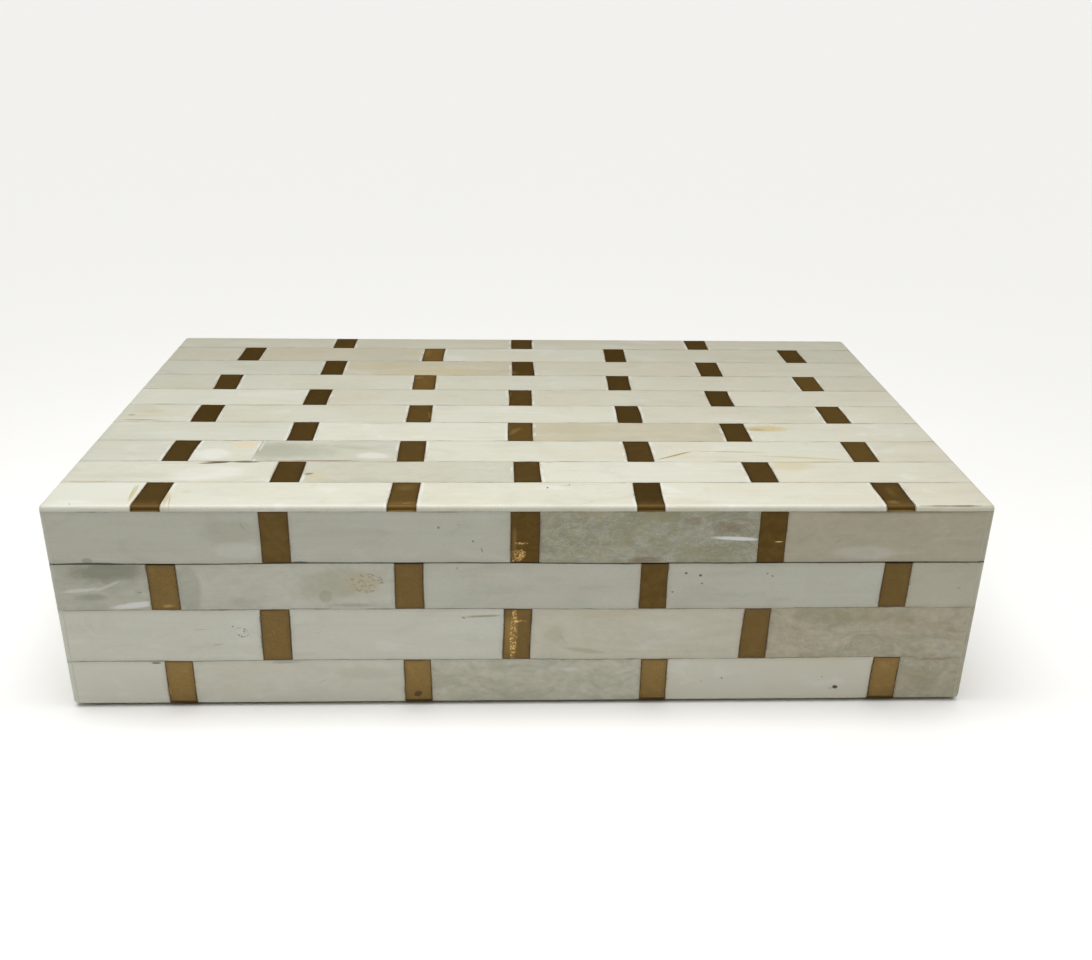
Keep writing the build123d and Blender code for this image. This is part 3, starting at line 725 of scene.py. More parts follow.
# Marks that a tile has of its own: their kind, where they lie on the face along and across
# the strips (mm), their half length and half width (mm), their strength and, if they are
# turned, by how much (degrees).
BONE_MARKS = {
    ("front", 1, 1): (
        ("olive", -78, 55, 11, 5.0, 0.24),
        ("patch", -116.5, 46.9, 1.7, 1.1, 0.60),
        ("white", -76, 50, 8, 3, 0.25),
        ("brown", -74.5, 57, 0.5, 1.8, 0.20, 30),
        ("pit", -116, 46.1, 9, 0.35, 0.75),
    ),
    ("front", 1, 2): (
        ("pit", -23, 56.6, 0.5, 0.5, 0.60),
        ("pit", -13.7, 52.5, 0.5, 0.35, 0.60, -40),
        ("pit", -11.2, 49.8, 0.25, 0.9, 0.50, 20),
        ("brown", -17.7, 57.5, 0.8, 0.2, 0.35, -20),
        ("pit", -60.5, 46.1, 3.0, 0.45, 0.80),
    ),
    ("front", 1, 3): (
        ("olive", 36, 60.3, 9, 2.6, 0.75),
        ("brown", 55.2, 56.6, 6.0, 2.0, 0.42, -4),
        ("brown", 46, 58.4, 3.6, 1.6, 0.36),
        ("olive", 28, 54.5, 2.6, 5.0, 0.55, -25),
        ("brown", 33, 46.9, 6.0, 1.3, 0.55),
        ("white", 57.5, 53.3, 7.5, 0.75, 1.0, -3),
        ("olive", 50, 48, 12, 4.0, 0.35),
    ),
    ("front", 1, 4): (
        ("brown", 85, 52.5, 1.6, 0.2, 0.35, 35),
        ("brown", 100, 61.1, 30, 0.5, 0.50),
        ("brown", 100, 46.1, 28, 0.3, 0.80),
        ("white", 92, 49, 10, 3, 0.20),
    ),
    ("front", 2, 1): (
        ("grey", -112, 43.6, 15, 4.6, 1.0, 4),
        ("grey", -117, 35.8, 7, 1.6, 0.60),
        ("white", -120, 37.8, 7, 0.7, 0.50, 6),
        ("white", -105, 33.3, 9, 1.1, 0.85, 8),
        ("brown", -104, 37.2, 0.6, 0.3, 0.60),
        ("white", -112, 39.2, 5, 0.5, 0.35, 25),
    ),
    ("front", 2, 2): (
        ("patch", -91.5, 38.5, 4.6, 8, 0.42),
        ("olive", -50, 39.5, 15, 6.5, 0.34, 6),
        ("patch", -54.3, 35.6, 2.1, 2.1, 0.35),
        ("specks", -42.5, 39.8, 5.0, 3.2, 0.60),
        ("amber", -44, 39.5, 7.0, 4.0, 0.30),
        ("brown", -47, 32.9, 9, 0.9, 0.30),
        ("grey", -77, 34, 5, 2, 0.25),
    ),
    ("front", 2, 3): (("pit", -18, 44.3, 0.3, 0.6, 0.40, -20), ("olive", 7, 41, 5, 1.5, 0.12)),
    ("front", 2, 4): (
        ("pit", 44.5, 42.8, 0.45, 0.38, 0.90),
        ("pit", 48.4, 42.1, 0.50, 0.42, 0.90),
        ("pit", 48.9, 39.6, 0.40, 0.35, 0.65),
        ("pit", 41.1, 37.0, 0.40, 0.35, 0.65),
        ("pit", 66.4, 42.6, 0.35, 0.30, 0.75),
        ("pit", 67.9, 41.8, 0.35, 0.35, 0.80),
    ),
    ("front", 2, 5): (("brown", 120.8, 37.8, 0.9, 0.3, 0.50),),
    ("front", 3, 1): (
        ("pit", -80, 26.4, 0.35, 0.30, 0.85),
        ("specks", -77.5, 24.6, 2.2, 1.8, 0.90, -30),
        ("brown", -84.5, 20.6, 2.2, 0.25, 0.30, 12),
        ("brown", -89, 25.5, 3.2, 0.15, 0.35, 2),
        ("olive", -60, 31, 8, 0.6, 0.20),
    ),
    ("front", 3, 2): (
        ("olive", -11, 29.3, 7.0, 0.6, 0.80, 3),
        ("brown", -16.6, 28.8, 0.8, 0.35, 0.60, -30),
        ("brown", -57.3, 24, 0.9, 0.2, 0.25),
    ),
    ("front", 3, 3): (
        ("amber", 22, 30.0, 15, 1.3, 0.32),
        ("olive", 9, 23.5, 4.0, 4.4, 0.26),
        ("olive", 17, 18.2, 9, 1.0, 0.42, -8),
        ("brown", 11, 22, 0.4, 3.0, 0.16, 35),
    ),
    ("front", 3, 4): (
        ("olive", 92, 28.8, 28, 3.2, 0.42),
        ("brown", 93, 19, 0.8, 0.2, 0.40, -30),
        ("brown", 112, 25, 14, 4, 0.16, -8),
    ),
    ("front", 4, 1): (("pit", -102.3, 14.6, 1.5, 0.35, 0.80),),
    ("front", 4, 2): (
        ("olive", -45, 11, 12, 3, 0.22),
        ("grey", -66, 14.6, 5, 0.8, 0.50),
        ("brown", -56.5, 8.2, 1.8, 0.2, 0.25, 20),
    ),
    ("front", 4, 3): (("white", 13, 12, 3, 0.9, 0.35), ("olive", 5, 6, 6, 2, 0.10)),
    ("front", 4, 4): (
        ("pit", 90.4, 5.2, 1.05, 0.75, 1.0, -8),
        ("brown", 89.0, 4.8, 0.9, 0.3, 0.35),
        ("pit", 57.0, 8.6, 0.35, 0.30, 0.75),
        ("brown", 86.0, 8.7, 0.35, 0.30, 0.55, -40),
        ("brown", 51.2, 7.6, 0.5, 0.25, 0.35),
    ),
    ("front", 4, 5): (
        ("olive", 113, 9, 11, 4.5, 0.40, -20),
        ("brown", 117, 14.5, 7, 0.25, 0.60),
    ),
    ("top", 1, 1): (
        ("amber", -104.6, -68, 0.8, 7.5, 0.85, 4),
        ("brown", -105.2, -67, 0.2, 5.5, 0.50, 6),
        ("brown", -119, -74.2, 0.25, 0.9, 0.45, 35),
    ),
    ("top", 1, 2): (
        ("amber", -94.9, -69, 0.8, 8, 0.80, 4),
        ("amber", -90.5, -66.3, 1.8, 1.6, 0.30),
        ("brown", -93.6, -72, 0.2, 5, 0.45, 10),
        ("amber", -57.7, -62, 1.2, 1.8, 0.22),
    ),
    ("top", 1, 3): (
        ("pit", 6.2, -63.7, 0.35, 0.65, 0.85),
        ("brown", 11.2, -62.5, 1.8, 0.25, 0.40, 6),
        ("pit", 12.5, -61.9, 0.3, 0.6, 0.55),
        ("brown", 27.6, -60.5, 1.2, 0.45, 0.55),
        ("brown", 20, -61.4, 9, 0.15, 0.30, 5),
    ),
    ("top", 1, 4): (("amber", 50.5, -65, 1.5, 2.0, 0.22, 20),),
    ("top", 1, 5): (
        ("brown", 116, -74.95, 11, 0.28, 0.90),
        ("grey", 105, -68, 0.8, 6, 0.40),
    ),
    ("top", 2, 1): (
        ("pit", -87.5, -46.7, 5.5, 0.60, 1.0, 6),
        ("pit", -78.5, -46.1, 4.6, 0.50, 1.0, 2),
        ("pit", -84, -45.75, 8.5, 0.35, 1.0, 1),
        ("amber", -119, -60.0, 9, 1.0, 0.60),
        ("grey", -105, -55.5, 16, 2.6, 0.16),
        ("brown", -100, -47.2, 18, 0.25, 0.22, 2),
        ("white", -88, -54, 14, 6, 0.30, 10),
    ),
    ("top", 2, 2): (
        ("brown", -60.2, -54.4, 1.5, 0.9, 0.80, 20),
        ("amber", -58, -56.5, 3.2, 3.6, 0.34),
        ("white", -61.6, -57, 0.9, 2.6, 0.50),
        ("brown", -14, -51.5, 8, 0.3, 0.16),
    ),
    ("top", 2, 3): (
        ("brown", 7.5, -46.2, 1.8, 0.4, 0.40),
        ("brown", 25.5, -53, 1.8, 0.2, 0.20, 40),
    ),
    ("top", 2, 4): (
        ("amber", 83, -45.4, 13, 1.0, 0.90, 2),
        ("amber", 77, -48.6, 8.0, 4.2, 0.45),
    ),
    ("top", 3, 2): (
        ("cream", -81.6, -33, 4.0, 3.2, 1.0),
        ("brown", -86.5, -29.9, 4.0, 0.5, 0.85, -2),
        ("white", -90, -40, 7, 5, 0.35),
        ("pit", -79, -45.3, 3.0, 0.35, 0.60, 3),
    ),
    ("top", 3, 3): (
        ("grey", -71, -37.5, 22, 9, 0.50),
        ("brown", -60, -44.9, 16, 0.5, 0.70, 1),
        ("grey", -50, -35, 9, 2.4, 0.30, -6),
        ("white", -44, -41, 6, 3, 0.35),
    ),
    ("top", 3, 5): (
        ("amber", 45, -40.6, 8.5, 0.8, 0.95, 30),
        ("brown", 44, -41, 8.0, 0.32, 0.90, 30),
        ("brown", 62, -37.8, 13, 0.30, 0.70, -2),
        ("amber", 82, -42.3, 16, 0.8, 0.85, -7),
        ("brown", 86, -31.5, 1.0, 0.4, 0.25),
    ),
    ("top", 4, 1): (
        ("brown", -82, -18.5, 14, 0.25, 0.28, -5),
        ("brown", -122, -28.7, 4, 0.4, 0.15),
    ),
    ("top", 4, 2): (("grey", -45, -15.6, 14, 0.5, 0.45), ("brown", -12, -27.2, 7, 0.2, 0.25)),
    ("top", 4, 3): (
        ("olive", 18, -20, 16, 5.0, 0.16),
        ("olive", -18, -26, 9, 2.0, 0.30),
        ("amber", 58, -17, 3.5, 3.0, 0.20),
    ),
    ("top", 4, 4): (
        ("amber", 76.5, -18.8, 10.5, 3.6, 0.85, 4),
        ("olive", 73.5, -19.8, 5.0, 1.8, 0.60),
        ("brown", 79, -19, 0.5, 0.5, 0.40),
    ),
    ("top", 5, 1): (
        ("brown", -119, -12.8, 8, 0.6, 0.60, -2),
        ("brown", -122.5, -8.5, 1.6, 0.8, 0.60),
        ("amber", -117, -5, 6, 2.6, 0.42),
    ),
    ("top", 5, 2): (("amber", -84, 0.7, 10, 1.1, 0.75),),
    ("top", 6, 1): (("brown", -115, 1.8, 9, 0.35, 0.30),),
    ("top", 8, 2): (
        ("amber", -28, 36, 22, 2.6, 0.60, 2),
        ("amber", -48, 41, 13, 3.5, 0.26),
        ("amber", -57, 47, 10, 1.0, 0.20),
    ),
    ("top", 9, 1): (("amber", -86, 58, 6, 4, 0.14),),
    ("top", 9, 2): (("amber", -38, 55, 3, 5, 0.30),),
}
# The gold marks on the top's tiles are painted highlights: the light that those tiles catch.
BRASS_MARKS = {
    ("front", 1, 2): (
        ("flake", -2.3, 47.9, 3.1, 1.9, 0.90, 30),
        ("flake", -0.8, 51.9, 1.9, 0.30, 1.0),
        ("gold", -2.6, 52.5, 1.0, 6.5, 0.10),
    ),
    ("front", 1, 3): (("gold", 68.9, 52.3, 1.5, 0.16, 0.90),),
    ("front", 3, 2): (
        ("flake", -2.7, 23.5, 1.1, 9.5, 0.75),
        ("flake", -1.2, 27.7, 2.2, 0.4, 0.8),
        ("gold", -4.4, 24, 2.2, 9.5, 0.10),
    ),
    ("front", 4, 1): (("flake", -100.4, 4.5, 1.2, 3.0, 0.50),),
    ("front", 4, 2): (("pit", -29.6, 3.9, 1.5, 1.1, 0.75, 25),),
    ("front", 2, 1): (("gold", -97, 33, 2.5, 0.9, 0.25),),
    ("top", 1, 2): (
        ("flake", -30.8, -73.6, 2.2, 0.5, 1.0, 8),
        ("gold", -32.5, -64, 3.5, 3, 0.22),
    ),
    ("top", 1, 4): (("gold", 99.5, -73, 2.4, 1.5, 0.45), ("gold", 100.8, -66, 1.8, 5, 0.20)),
    ("top", 4, 2): (
        ("gold", -2.3, -22, 5.5, 1.6, 0.60, 60),
        ("gold", -3.7, -19, 0.5, 4.0, 0.50),
    ),
    ("top", 5, 2): (("gold", -28.9, -9, 0.8, 5.0, 0.75, 8),),
    ("top", 6, 2): (("gold", -3.6, 12, 0.8, 3.6, 0.60),),
    ("top", 7, 2): (("gold", -35.0, 28.6, 3.0, 2.0, 1.0, 20),),
    ("top", 8, 2): (("gold", -2.4, 35, 1.8, 2.2, 0.60),),
    ("top", 9, 2): (("gold", -33.5, 58, 1.8, 7.0, 0.50),),
}


def mark_values(look, marks, count):
    """The attributes that draw a tile's marks, and the brass's painted highlights. One that gives
    no turn isn't turned.
    """
    values = {}
    for number in range(count):
        mark = marks[number] if number < len(marks) else NO_MARK
        kind, along, across, half_length, half_width, strength, *turn = mark
        tint, soft = MARK_KINDS[kind]
        values[f"mark_{number}_place"] = [along, across, radians(-sum(turn))]
        values[f"mark_{number}_reach"] = [half_length, half_width, strength]
        values[f"mark_{number}_tint"] = (*getattr(look, tint), soft)
    return values


def islands(mesh):
    """The vertex numbers of each separate tile of a mesh."""
    leader = list(range(len(mesh.vertices)))

    def find(i):
        while leader[i] != i:
            leader[i] = leader[leader[i]]
            i = leader[i]
        return i

    for edge in mesh.edges:
        a, b = (find(i) for i in edge.vertices)
        leader[a] = b
    groups = {}
    for i in range(len(mesh.vertices)):
        groups.setdefault(find(i), []).append(i)
    return list(groups.values())


def numbered_tiles(mesh, face, first_strip):
    """(strip, piece, low corner, high corner, vertex numbers) of each tile of a face."""
    along, across = FACE_AXES[face]
    from_low = 1 if face == "top" else -1
    found = []
    for group in islands(mesh):
        points = [mesh.vertices[i].co for i in group]
        low = Vector(map(min, zip(*points)))
        high = Vector(map(max, zip(*points)))
        found.append((round((low + high)[across] / 2 / MM), low, high, group))
    levels = sorted({item[0] for item in found}, key=lambda level: from_low * level)
    numbered = []
    for strip, level in enumerate(levels, first_strip):
        row = sorted((i for i in found if i[0] == level), key=lambda i: i[1][along])
        for number, (_, low, high, group) in enumerate(row, 1):
            numbered.append((strip, number, low, high, group))
    return numbered


def write_tiles(piece, face, first_strip, looks_of):
    """Gives each tile its laid coordinates (mm), its joint lines and its looks.

    A tile's edge at the box's own outline is no joint, so its line is put far outside. The
    tiles' edges that turn up in a joint, and the rounded outer edges, are noted too.
    """
    mesh = piece.data
    along, across = FACE_AXES[face]
    laid = mesh.uv_layers.new(name="laid")
    for loop in mesh.loops:
        co = mesh.vertices[loop.vertex_index].co
        laid.data[loop.index].uv = (co[along] / MM, co[across] / MM)
    tiles = numbered_tiles(mesh, face, first_strip)
    values = {}
    outside = 1000.0
    facing, slanting = 0.95, 0.99
    for strip, number, low, high, group in tiles:
        low_edge = [low[along] / MM, low[across] / MM, 0.0]
        high_edge = [high[along] / MM, high[across] / MM, 0.0]
        for place, axis in enumerate((along, across)):
            near = 0.5 * TILE if axis == 2 else 1.5 * TILE
            if low[axis] < LOW[axis] + near:
                low_edge[place] = -outside
            if high[axis] > HIGH[axis] - near:
                high_edge[place] = outside
        tile = {"low_edge": low_edge, "high_edge": high_edge, **looks_of(strip, number)}
        for name, value in tile.items():
            values.setdefault(name, {}).update({i: value for i in group})
    kinds = {
        float: ("FLOAT", "value"),
        list: ("FLOAT_VECTOR", "vector"),
        tuple: ("FLOAT_COLOR", "color"),
    }
    for name, by_vertex in values.items():
        kind, field = kinds[type(by_vertex[0])]
        attribute = mesh.attributes.new(name, kind, "POINT")
        for i, value in by_vertex.items():
            setattr(attribute.data[i], field, value)
    in_joint = mesh.attributes.new("in_joint", "FLOAT", "FACE")
    arris = mesh.attributes.new("arris", "FLOAT", "FACE")
    for polygon in mesh.polygons:
        normal, middle = polygon.normal, polygon.center
        inner = [
            abs(normal[axis]) > facing
            and min(middle[axis] - LOW[axis], HIGH[axis] - middle[axis]) > TILE / 2
            for axis in (along, across)
        ]
        in_joint.data[polygon.index].value = float(any(inner))
        arris.data[polygon.index].value = float(max(map(abs, normal)) < slanting)


def on_arris(a, b, near=0.01 * MM):
    """True if an edge lies on two of the box's outer planes."""
    planes = [(0, LOW.x), (0, HIGH.x), (1, LOW.y), (1, HIGH.y), (2, BASE_Z), (2, HIGH.z)]
    return sum(abs(a[i] - at) < near and abs(b[i] - at) < near for i, at in planes) > 1


def cut_every(piece, axis, step):
    """Cuts a piece by planes a step apart along an axis, so that its faces can bend."""
    places = [vertex.co[axis] for vertex in piece.data.vertices]
    normal = Vector((axis == 0, axis == 1, axis == 2))
    edit(piece)
    for i in range(1, int((max(places) - min(places)) / step) + 1):
        bpy.ops.mesh.select_all(action="SELECT")
        bpy.ops.mesh.bisect(plane_co=normal * (min(places) + i * step), plane_no=normal)
    stop_editing()


def wander(piece, axis, texture, strength):
    """Lets the cut edges wander along an axis, as hand-sawn strips do, but not at corners."""
    clear = 5 * MM
    tight, loose = 2.5 * MM, 8 * MM
    group = piece.vertex_groups.new(name="loose")
    for vertex in piece.data.vertices:
        co = vertex.co
        at_hinge = co.y > HINGE["pos_m"][1] - clear and abs(co.z - SEAM_Z) < clear
        from_outside = min((co - LOW)[axis], (HIGH - co)[axis])
        share = min(max((from_outside - tight) / (loose - tight), 0.0), 1.0)
        group.add([vertex.index], 0.0 if at_hinge else share, "REPLACE")
    apply_modifier(
        piece,
        "DISPLACE",
        texture=texture,
        texture_coords="LOCAL",
        direction="XYZ"[axis],
        strength=strength,
        mid_level=0.5,
        vertex_group="loose",
    )
    piece.vertex_groups.clear()


def cloud_texture(name, size):
    """Soft noise that the wander of neighbouring tiles shares, so their joints stay even."""
    texture = bpy.data.textures.get(name) or bpy.data.textures.new(name, "CLOUDS")
    texture.noise_scale = size
    texture.noise_depth = 1
    return texture


def lay_tiles(look, node, face, first_strip, material, slot, looks_of):
    """Cuts, rounds and lays the tiles of one node."""
    piece = merged_copy(node, f"{node}_laid")
    select_edges(piece, on_arris)
    bpy.ops.mesh.bevel(offset=look.arris_round, segments=ARRIS_STEPS, affect="EDGES")
    stop_editing()
    by_angle = {"limit_method": "ANGLE", "angle_limit": SHARP}
    apply_modifier(piece, "BEVEL", width=look.joint_round, segments=1, **by_angle)
    along, across = FACE_AXES[face]
    cut_every(piece, along, look.cut_step)
    cut_every(piece, across, look.cut_step)
    write_tiles(piece, face, first_strip, looks_of)
    wander(piece, along, cloud_texture("end wander", look.end_wave), look.end_wander)
    wander(piece, across, cloud_texture("edge wander", look.edge_wave), look.edge_wander)
    body = "lid" if node.startswith("lid_") else "box"
    finish_piece(piece, body, material, slot, node)


def bone_looks(look, face, draw):
    """A function that gives a bone piece its looks: those noted above, or drawn ones."""

    def looks_of(strip, number):
        place = (face, strip, number)
        drawn = {
            "shade": draw.uniform(0.0, 0.07),
            "warmth": draw.uniform(0.0, 0.12),
            "figure": draw.choice((0.0, 0.0, 0.05, 0.1)),
            "pores": draw.uniform(0.0, 0.6),
            "stain": draw.choice((0.0, 0.0, 0.05, 0.12)),
            "hairs": draw.choice((0.0, 0.0, 0.12, 0.24)),
            "seed": draw.random(),
        }
        if face in ("back", "left", "right") and draw.random() < 0.25:
            drawn |= {"figure": draw.uniform(0.3, 0.9), "shade": draw.uniform(0.05, 0.2)}
        if place in BONE_LOOKS:
            drawn |= CLEAN | BONE_LOOKS[place]
        drawn["dust"] = 0.0
        # On the top the strips darken towards the back: painted shade for the light's falloff
        # across the top. They also warm towards the back and to the right.
        if face == "top":
            drawn["shade"] += min(0.04 * (strip - 1), 0.13)
            drawn["warmth"] += 0.02 * strip + 0.03 * (number - 1)
            drawn["dust"] = 0.6
        return drawn | mark_values(look, BONE_MARKS.get(place, ()), BONE_MARKS_EACH)

    return looks_of


def brass_looks(look, face, draw):
    """A function that gives a brass tile its tone and its wear."""

    def looks_of(strip, number):
        place = (face, strip, number)
        drawn = {"tone": draw.uniform(-0.15, 0.1), "seed": draw.random()}
        if place in BRASS_TONES:
            drawn["tone"] = BRASS_TONES[place]
        # The top's brass is made brighter than the sides': painted light on the top.
        if face == "top":
            drawn["tone"] += 0.15
        return drawn | mark_values(look, BRASS_MARKS.get(place, ()), BRASS_MARKS_EACH)

    return looks_of


class INLAIDBOX_OT_top_tiles(bpy.types.Operator):
    """Lays the ten bone strips and the brass tiles of the lid's top"""

    bl_idname = "inlaid_box.top_tiles"
    bl_label = "Lay Top"

    def execute(self, context):
        look = context.scene.inlaid_box_tiles
        bone, brass = shared_material("polished bone", look), shared_material("aged brass", look)
        draw = random.Random(TOP_SEED)
        strips = sorted(name for name in frame["nodes"] if name.startswith("lid_top_bone_row"))
        for strip, node in enumerate(strips, 1):
            lay_tiles(look, node, "top", strip, bone, "bone", bone_looks(look, "top", draw))
        looks_of = brass_looks(look, "top", draw)
        lay_tiles(look, "lid_top_brass_tiles", "top", 1, brass, "aged_brass", looks_of)
        return {"FINISHED"}


class INLAIDBOX_OT_side_tiles(bpy.types.Operator):
    """Lays the bone strips and the brass tiles of the four sides"""

    bl_idname = "inlaid_box.side_tiles"
    bl_label = "Lay Sides"

    def execute(self, context):
        look = context.scene.inlaid_box_tiles
        bone, brass = shared_material("polished bone", look), shared_material("aged brass", look)
        for side in SIDES:
            draw = random.Random(side)
            strips = [f"lid_{side}_bone_row"] + [f"box_{side}_bone_row_{i}" for i in (1, 2, 3)]
            for strip, node in enumerate(strips, 1):
                lay_tiles(look, node, side, strip, bone, "bone", bone_looks(look, side, draw))
            for strip, node in ((1, f"lid_{side}_brass_tiles"), (2, f"box_{side}_brass_tiles")):
                looks_of = brass_looks(look, side, draw)
                lay_tiles(look, node, side, strip, brass, "aged_brass", looks_of)
        return {"FINISHED"}


def shared_material(name, look):
    """The material of that name, made the first time that it is asked for."""
    makers = {"polished bone": bone_material, "aged brass": brass_material}
    return bpy.data.materials.get(name) or makers[name](look)


# Filler -----------------------------------------------------------------------------


class INLAIDBOX_OT_filler(bpy.types.Operator):
    """Packs the joints between the tiles with bone dust and glue"""

    bl_idname = "inlaid_box.filler"
    bl_label = "Fill Joints"

    def execute(self, context):
        look = context.scene.inlaid_box_tiles
        material = filler_material(look)
        below = 0.05 * MM  # under the tiles' faces
        near = below + 0.01 * MM
        from_seam = 0.2 * MM
        from_wood = 0.3 * MM
        lid_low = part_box("lid_front_rail")[0].z
        box_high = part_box("box_front_wall")[1].z
        heights = {
            "box": (BASE_Z + below, box_high - from_seam),
            "lid": (lid_low + from_seam, HIGH.z - below),
        }
        for body, (low, high) in heights.items():
            bpy.ops.mesh.primitive_cube_add(size=1)
            piece = context.object
            piece.name = piece.data.name = f"{body}_joint_filler"
            piece.scale = (HIGH.x - LOW.x - 2 * below, HIGH.y - LOW.y - 2 * below, high - low)
            piece.location = (0, 0, (low + high) / 2)
            bpy.ops.object.transform_apply(location=True, rotation=False, scale=True)
            hollow(piece, TILE - below - from_wood, body)
            select_edges(piece, lambda a, b: on_arris(a, b, near))
            rounding = look.arris_round + below
            bpy.ops.mesh.bevel(offset=rounding, segments=ARRIS_STEPS, affect="EDGES")
            stop_editing()
            cut_groove(piece)
            finish_piece(piece, body, material, "bone")
        return {"FINISHED"}


def hollow(piece, wall, body):
    """Opens a block below (and, on the box, above) and leaves a wall this thick."""
    edit(piece)
    bpy.ops.mesh.select_mode(type="FACE")
    bpy.ops.mesh.select_all(action="DESELECT")
    stop_editing()
    for face in piece.data.polygons:
        face.select = face.normal.z < -0.5 or (body == "box" and face.normal.z > 0.5)
    bpy.ops.object.mode_set(mode="EDIT")
    bpy.ops.mesh.delete(type="ONLY_FACE")
    stop_editing()
    apply_modifier(piece, "SOLIDIFY", thickness=wall, offset=-1, use_even_offset=True)


def cut_groove(piece):
    """Cuts the filler back from the hinge groove along the back of the seam."""
    reach = 7 * MM
    hinge_y, hinge_z = HINGE["pos_m"][1:]
    bpy.ops.mesh.primitive_cube_add(size=1)
    cutter = bpy.context.object
    cutter.scale = (2 * HIGH.x, 2 * reach, 2 * reach)
    cutter.location = (0, hinge_y + reach, hinge_z)
    bpy.ops.object.transform_apply(location=True, rotation=False, scale=True)
    apply_modifier(piece, "BOOLEAN", operation="DIFFERENCE", object=cutter, solver="EXACT")
    bpy.data.objects.remove(cutter)


# Wood, hinges, fasteners and felt ---------------------------------------------------


def refine_cad(node, material, edge, segments=2):
    """Keeps a CAD node, with its edges softened and a better material."""
    piece = frame["nodes"][node]
    piece.data.materials.clear()
    piece.data.materials.append(material)
    add_modifier(piece, "WELD", merge_threshold=TOUCHING)
    add_modifier(piece, "DECIMATE", decimate_type="DISSOLVE", angle_limit=FLAT)
    by_angle = {"limit_method": "ANGLE", "angle_limit": SHARP}
    add_modifier(piece, "BEVEL", width=edge, segments=segments, **by_angle)


class INLAIDBOX_OT_carcass(bpy.types.Operator):
    """Finishes the wooden walls, floor, rails and panel"""

    bl_idname = "inlaid_box.carcass"
    bl_label = "Finish Wood"

    def execute(self, context):
        look = context.scene.inlaid_box_wood
        along_x = wood_material(look, "wood along the box", 0.0)
        along_y = wood_material(look, "wood across the box", pi / 2)
        for side in SIDES:
            material = along_x if side in ("front", "back") else along_y
            refine_cad(f"box_{side}_wall", material, look.edge_round)
            refine_cad(f"lid_{side}_rail", material, look.edge_round)
        refine_cad("box_floor", along_x, look.edge_round)
        refine_cad("lid_panel", along_x, look.edge_round)
        return {"FINISHED"}


class INLAIDBOX_OT_hinges(bpy.types.Operator):
    """Finishes the two hinges, their pins and their screws"""

    bl_idname = "inlaid_box.hinges"
    bl_label = "Finish Hinges"

    def execute(self, context):
        look = context.scene.inlaid_box_wood
        dark = tuple(0.3 * c for c in look.hinge)
        brass = metal_material("hinge brass", look.hinge, dark, 0.32)
        dull = tuple(0.3 * c for c in look.steel)
        steel = metal_material("nail steel", look.steel, dull, 0.4)
        small = look.metal_round
        for side in ("left", "right"):
            refine_cad(f"hinge_{side}_box_leaf", brass, small)
            refine_cad(f"hinge_{side}_lid_leaf", brass, small)
            refine_cad(f"hinge_{side}_pin", brass, small)
        for body in ("box", "lid"):
            refine_cad(f"{body}_hinge_screws", brass, small / 2, 1)
            refine_cad(f"{body}_nails", steel, small / 2, 1)
        return {"FINISHED"}


class INLAIDBOX_OT_felt(bpy.types.Operator):
    """Lays the felt sheet under the base"""

    bl_idname = "inlaid_box.felt"
    bl_label = "Lay Felt"

    def execute(self, context):
        look = context.scene.inlaid_box_wood
        low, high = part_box("base_felt")
        piece = merged_copy("base_felt", "base_felt_sheet")
        cut_every(piece, 0, look.felt_step)
        cut_every(piece, 1, look.felt_step)
        edit(piece)
        bpy.ops.transform.vertex_random(offset=look.felt_nap, seed=FELT_SEED)
        stop_editing()
        for vertex in piece.data.vertices:
            vertex.co.z = min(max(vertex.co.z, low.z), high.z)
        material = felt_material(look)
        finish_piece(piece, "box", material, "felt", "base_felt", smooth_below=radians(60))
        return {"FINISHED"}


# Stage ------------------------------------------------------------------------------


def light_room(look):
    """A dim room with a wide soft ceiling light, behind a pale backdrop."""
    world = bpy.data.worlds.new("room")
    bpy.context.scene.world = world
    world.use_nodes = True
    nodes, links = world.node_tree.nodes, world.node_tree.links
    place = nodes.new("ShaderNodeTexCoord")
    split = nodes.new("ShaderNodeSeparateXYZ")
    links.new(place.outputs["Generated"], split.inputs[0])
    ramp = nodes.new("ShaderNodeValToRGB")
    ramp.color_ramp.interpolation = "EASE"
    dim = [c / look.ceiling_strength for c in look.room]
    stops = zip(ramp.color_ramp.elements, look.ceiling_edge, (dim, look.ceiling))
    for element, height, tone in stops:
        element.position = height
        element.color = (*tone, 1)
    links.new(split.outputs["Z"], ramp.inputs[0])
    links.new(ramp.outputs[0], nodes["Background"].inputs["Color"])
    nodes["Background"].inputs["Strength"].default_value = look.ceiling_strength
    backdrop = nodes.new("ShaderNodeBackground")
    backdrop.inputs["Color"].default_value = (*look.backdrop, 1)
    seen = nodes.new("ShaderNodeLightPath")
    mix = nodes.new("ShaderNodeMixShader")
    links.new(seen.outputs["Is Camera Ray"], mix.inputs[0])
    links.new(nodes["Background"].outputs[0], mix.inputs[1])
    links.new(backdrop.outputs[0], mix.inputs[2])
    links.new(mix.outputs[0], nodes["World Output"].inputs["Surface"])


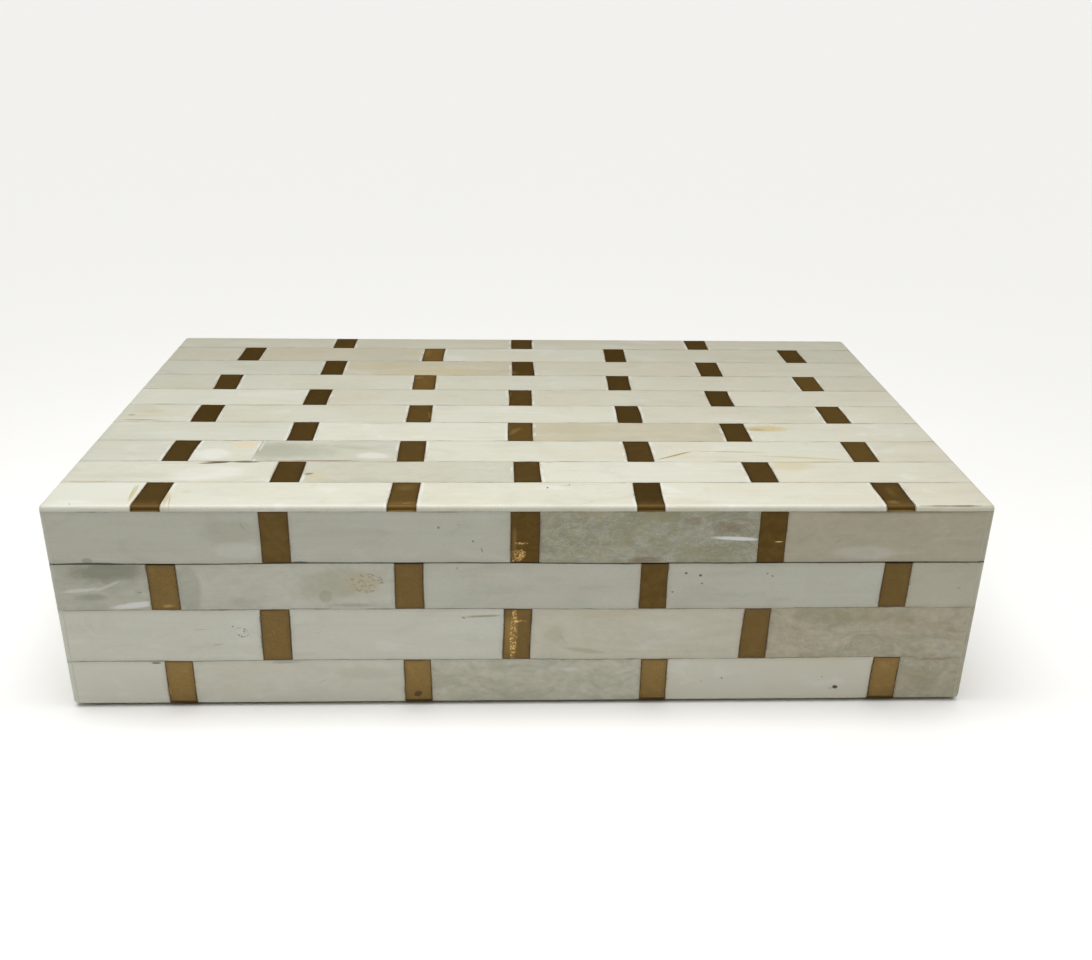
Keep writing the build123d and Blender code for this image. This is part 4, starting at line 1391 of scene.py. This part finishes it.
class INLAIDBOX_OT_stage(bpy.types.Operator):
    """Makes the floor, the lights and the camera"""

    bl_idname = "inlaid_box.stage"
    bl_label = "Set Stage"

    def execute(self, context):
        look = context.scene.inlaid_box_stage
        bpy.ops.object.select_all(action="DESELECT")
        bpy.ops.mesh.primitive_plane_add(size=look.floor_width, location=(0, 0, 0))
        floor = context.object
        floor.name = "floor"
        w = Wires("floor")
        matt = w.finish(Base_Color=(*look.floor, 1), Roughness=1.0, Specular_IOR_Level=0.0)
        floor.data.materials.append(matt)

        light_room(look)
        light = bpy.data.lights.new("key light", "AREA")
        light.shape = "RECTANGLE"
        light.size, light.size_y = look.key_length, look.key_width
        light.energy = look.key_watts
        lamp = bpy.data.objects.new("key light", light)
        context.scene.collection.objects.link(lamp)
        lamp.location = look.key_place
        lamp.visible_camera = False

        camera = bpy.data.objects.new("camera", bpy.data.cameras.new("camera"))
        context.scene.collection.objects.link(camera)
        yaw, pitch, roll = look.camera_turn
        turn = Matrix.Rotation(yaw, 4, "Z") @ Matrix.Rotation(pi / 2 - pitch, 4, "X")
        turn = turn @ Matrix.Rotation(roll, 4, "Z")
        camera.matrix_world = Matrix.Translation(look.camera_place) @ turn
        camera.data.lens = look.lens
        camera.data.sensor_width = 36
        camera.data.clip_start = 10 * MM
        context.scene.camera = camera
        context.scene.view_settings.view_transform = "Standard"
        return {"FINISHED"}


class INLAIDBOX_PT_panel(bpy.types.Panel):
    """Lists the box's settings and steps"""

    bl_label = "Inlaid Box"
    bl_idname = "INLAIDBOX_PT_panel"
    bl_space_type = "VIEW_3D"
    bl_region_type = "UI"
    bl_category = "Inlaid Box"

    def draw(self, context):
        for group in ("inlaid_box_tiles", "inlaid_box_wood", "inlaid_box_stage"):
            settings = getattr(context.scene, group)
            box = self.layout.box()
            for name in settings.__annotations__:
                box.prop(settings, name)
        for operator in OPERATORS:
            self.layout.operator(operator.bl_idname)


OPERATORS = (
    INLAIDBOX_OT_stage,
    INLAIDBOX_OT_top_tiles,
    INLAIDBOX_OT_side_tiles,
    INLAIDBOX_OT_filler,
    INLAIDBOX_OT_carcass,
    INLAIDBOX_OT_hinges,
    INLAIDBOX_OT_felt,
)
GROUPS = {
    "inlaid_box_tiles": InlaidBoxTiles,
    "inlaid_box_wood": InlaidBoxWood,
    "inlaid_box_stage": InlaidBoxStage,
}


def register():
    for cls in (*GROUPS.values(), *OPERATORS, INLAIDBOX_PT_panel):
        bpy.utils.register_class(cls)
    for name, group in GROUPS.items():
        setattr(bpy.types.Scene, name, PointerProperty(type=group))


def unregister():
    for name in GROUPS:
        delattr(bpy.types.Scene, name)
    for cls in (INLAIDBOX_PT_panel, *reversed(OPERATORS), *GROUPS.values()):
        bpy.utils.unregister_class(cls)


def main():
    register()
    bpy.ops.inlaid_box.stage()
    bpy.ops.inlaid_box.top_tiles()
    bpy.ops.inlaid_box.side_tiles()
    bpy.ops.inlaid_box.filler()
    bpy.ops.inlaid_box.carcass()
    bpy.ops.inlaid_box.hinges()
    bpy.ops.inlaid_box.felt()


if __name__ == "__main__":
    main()
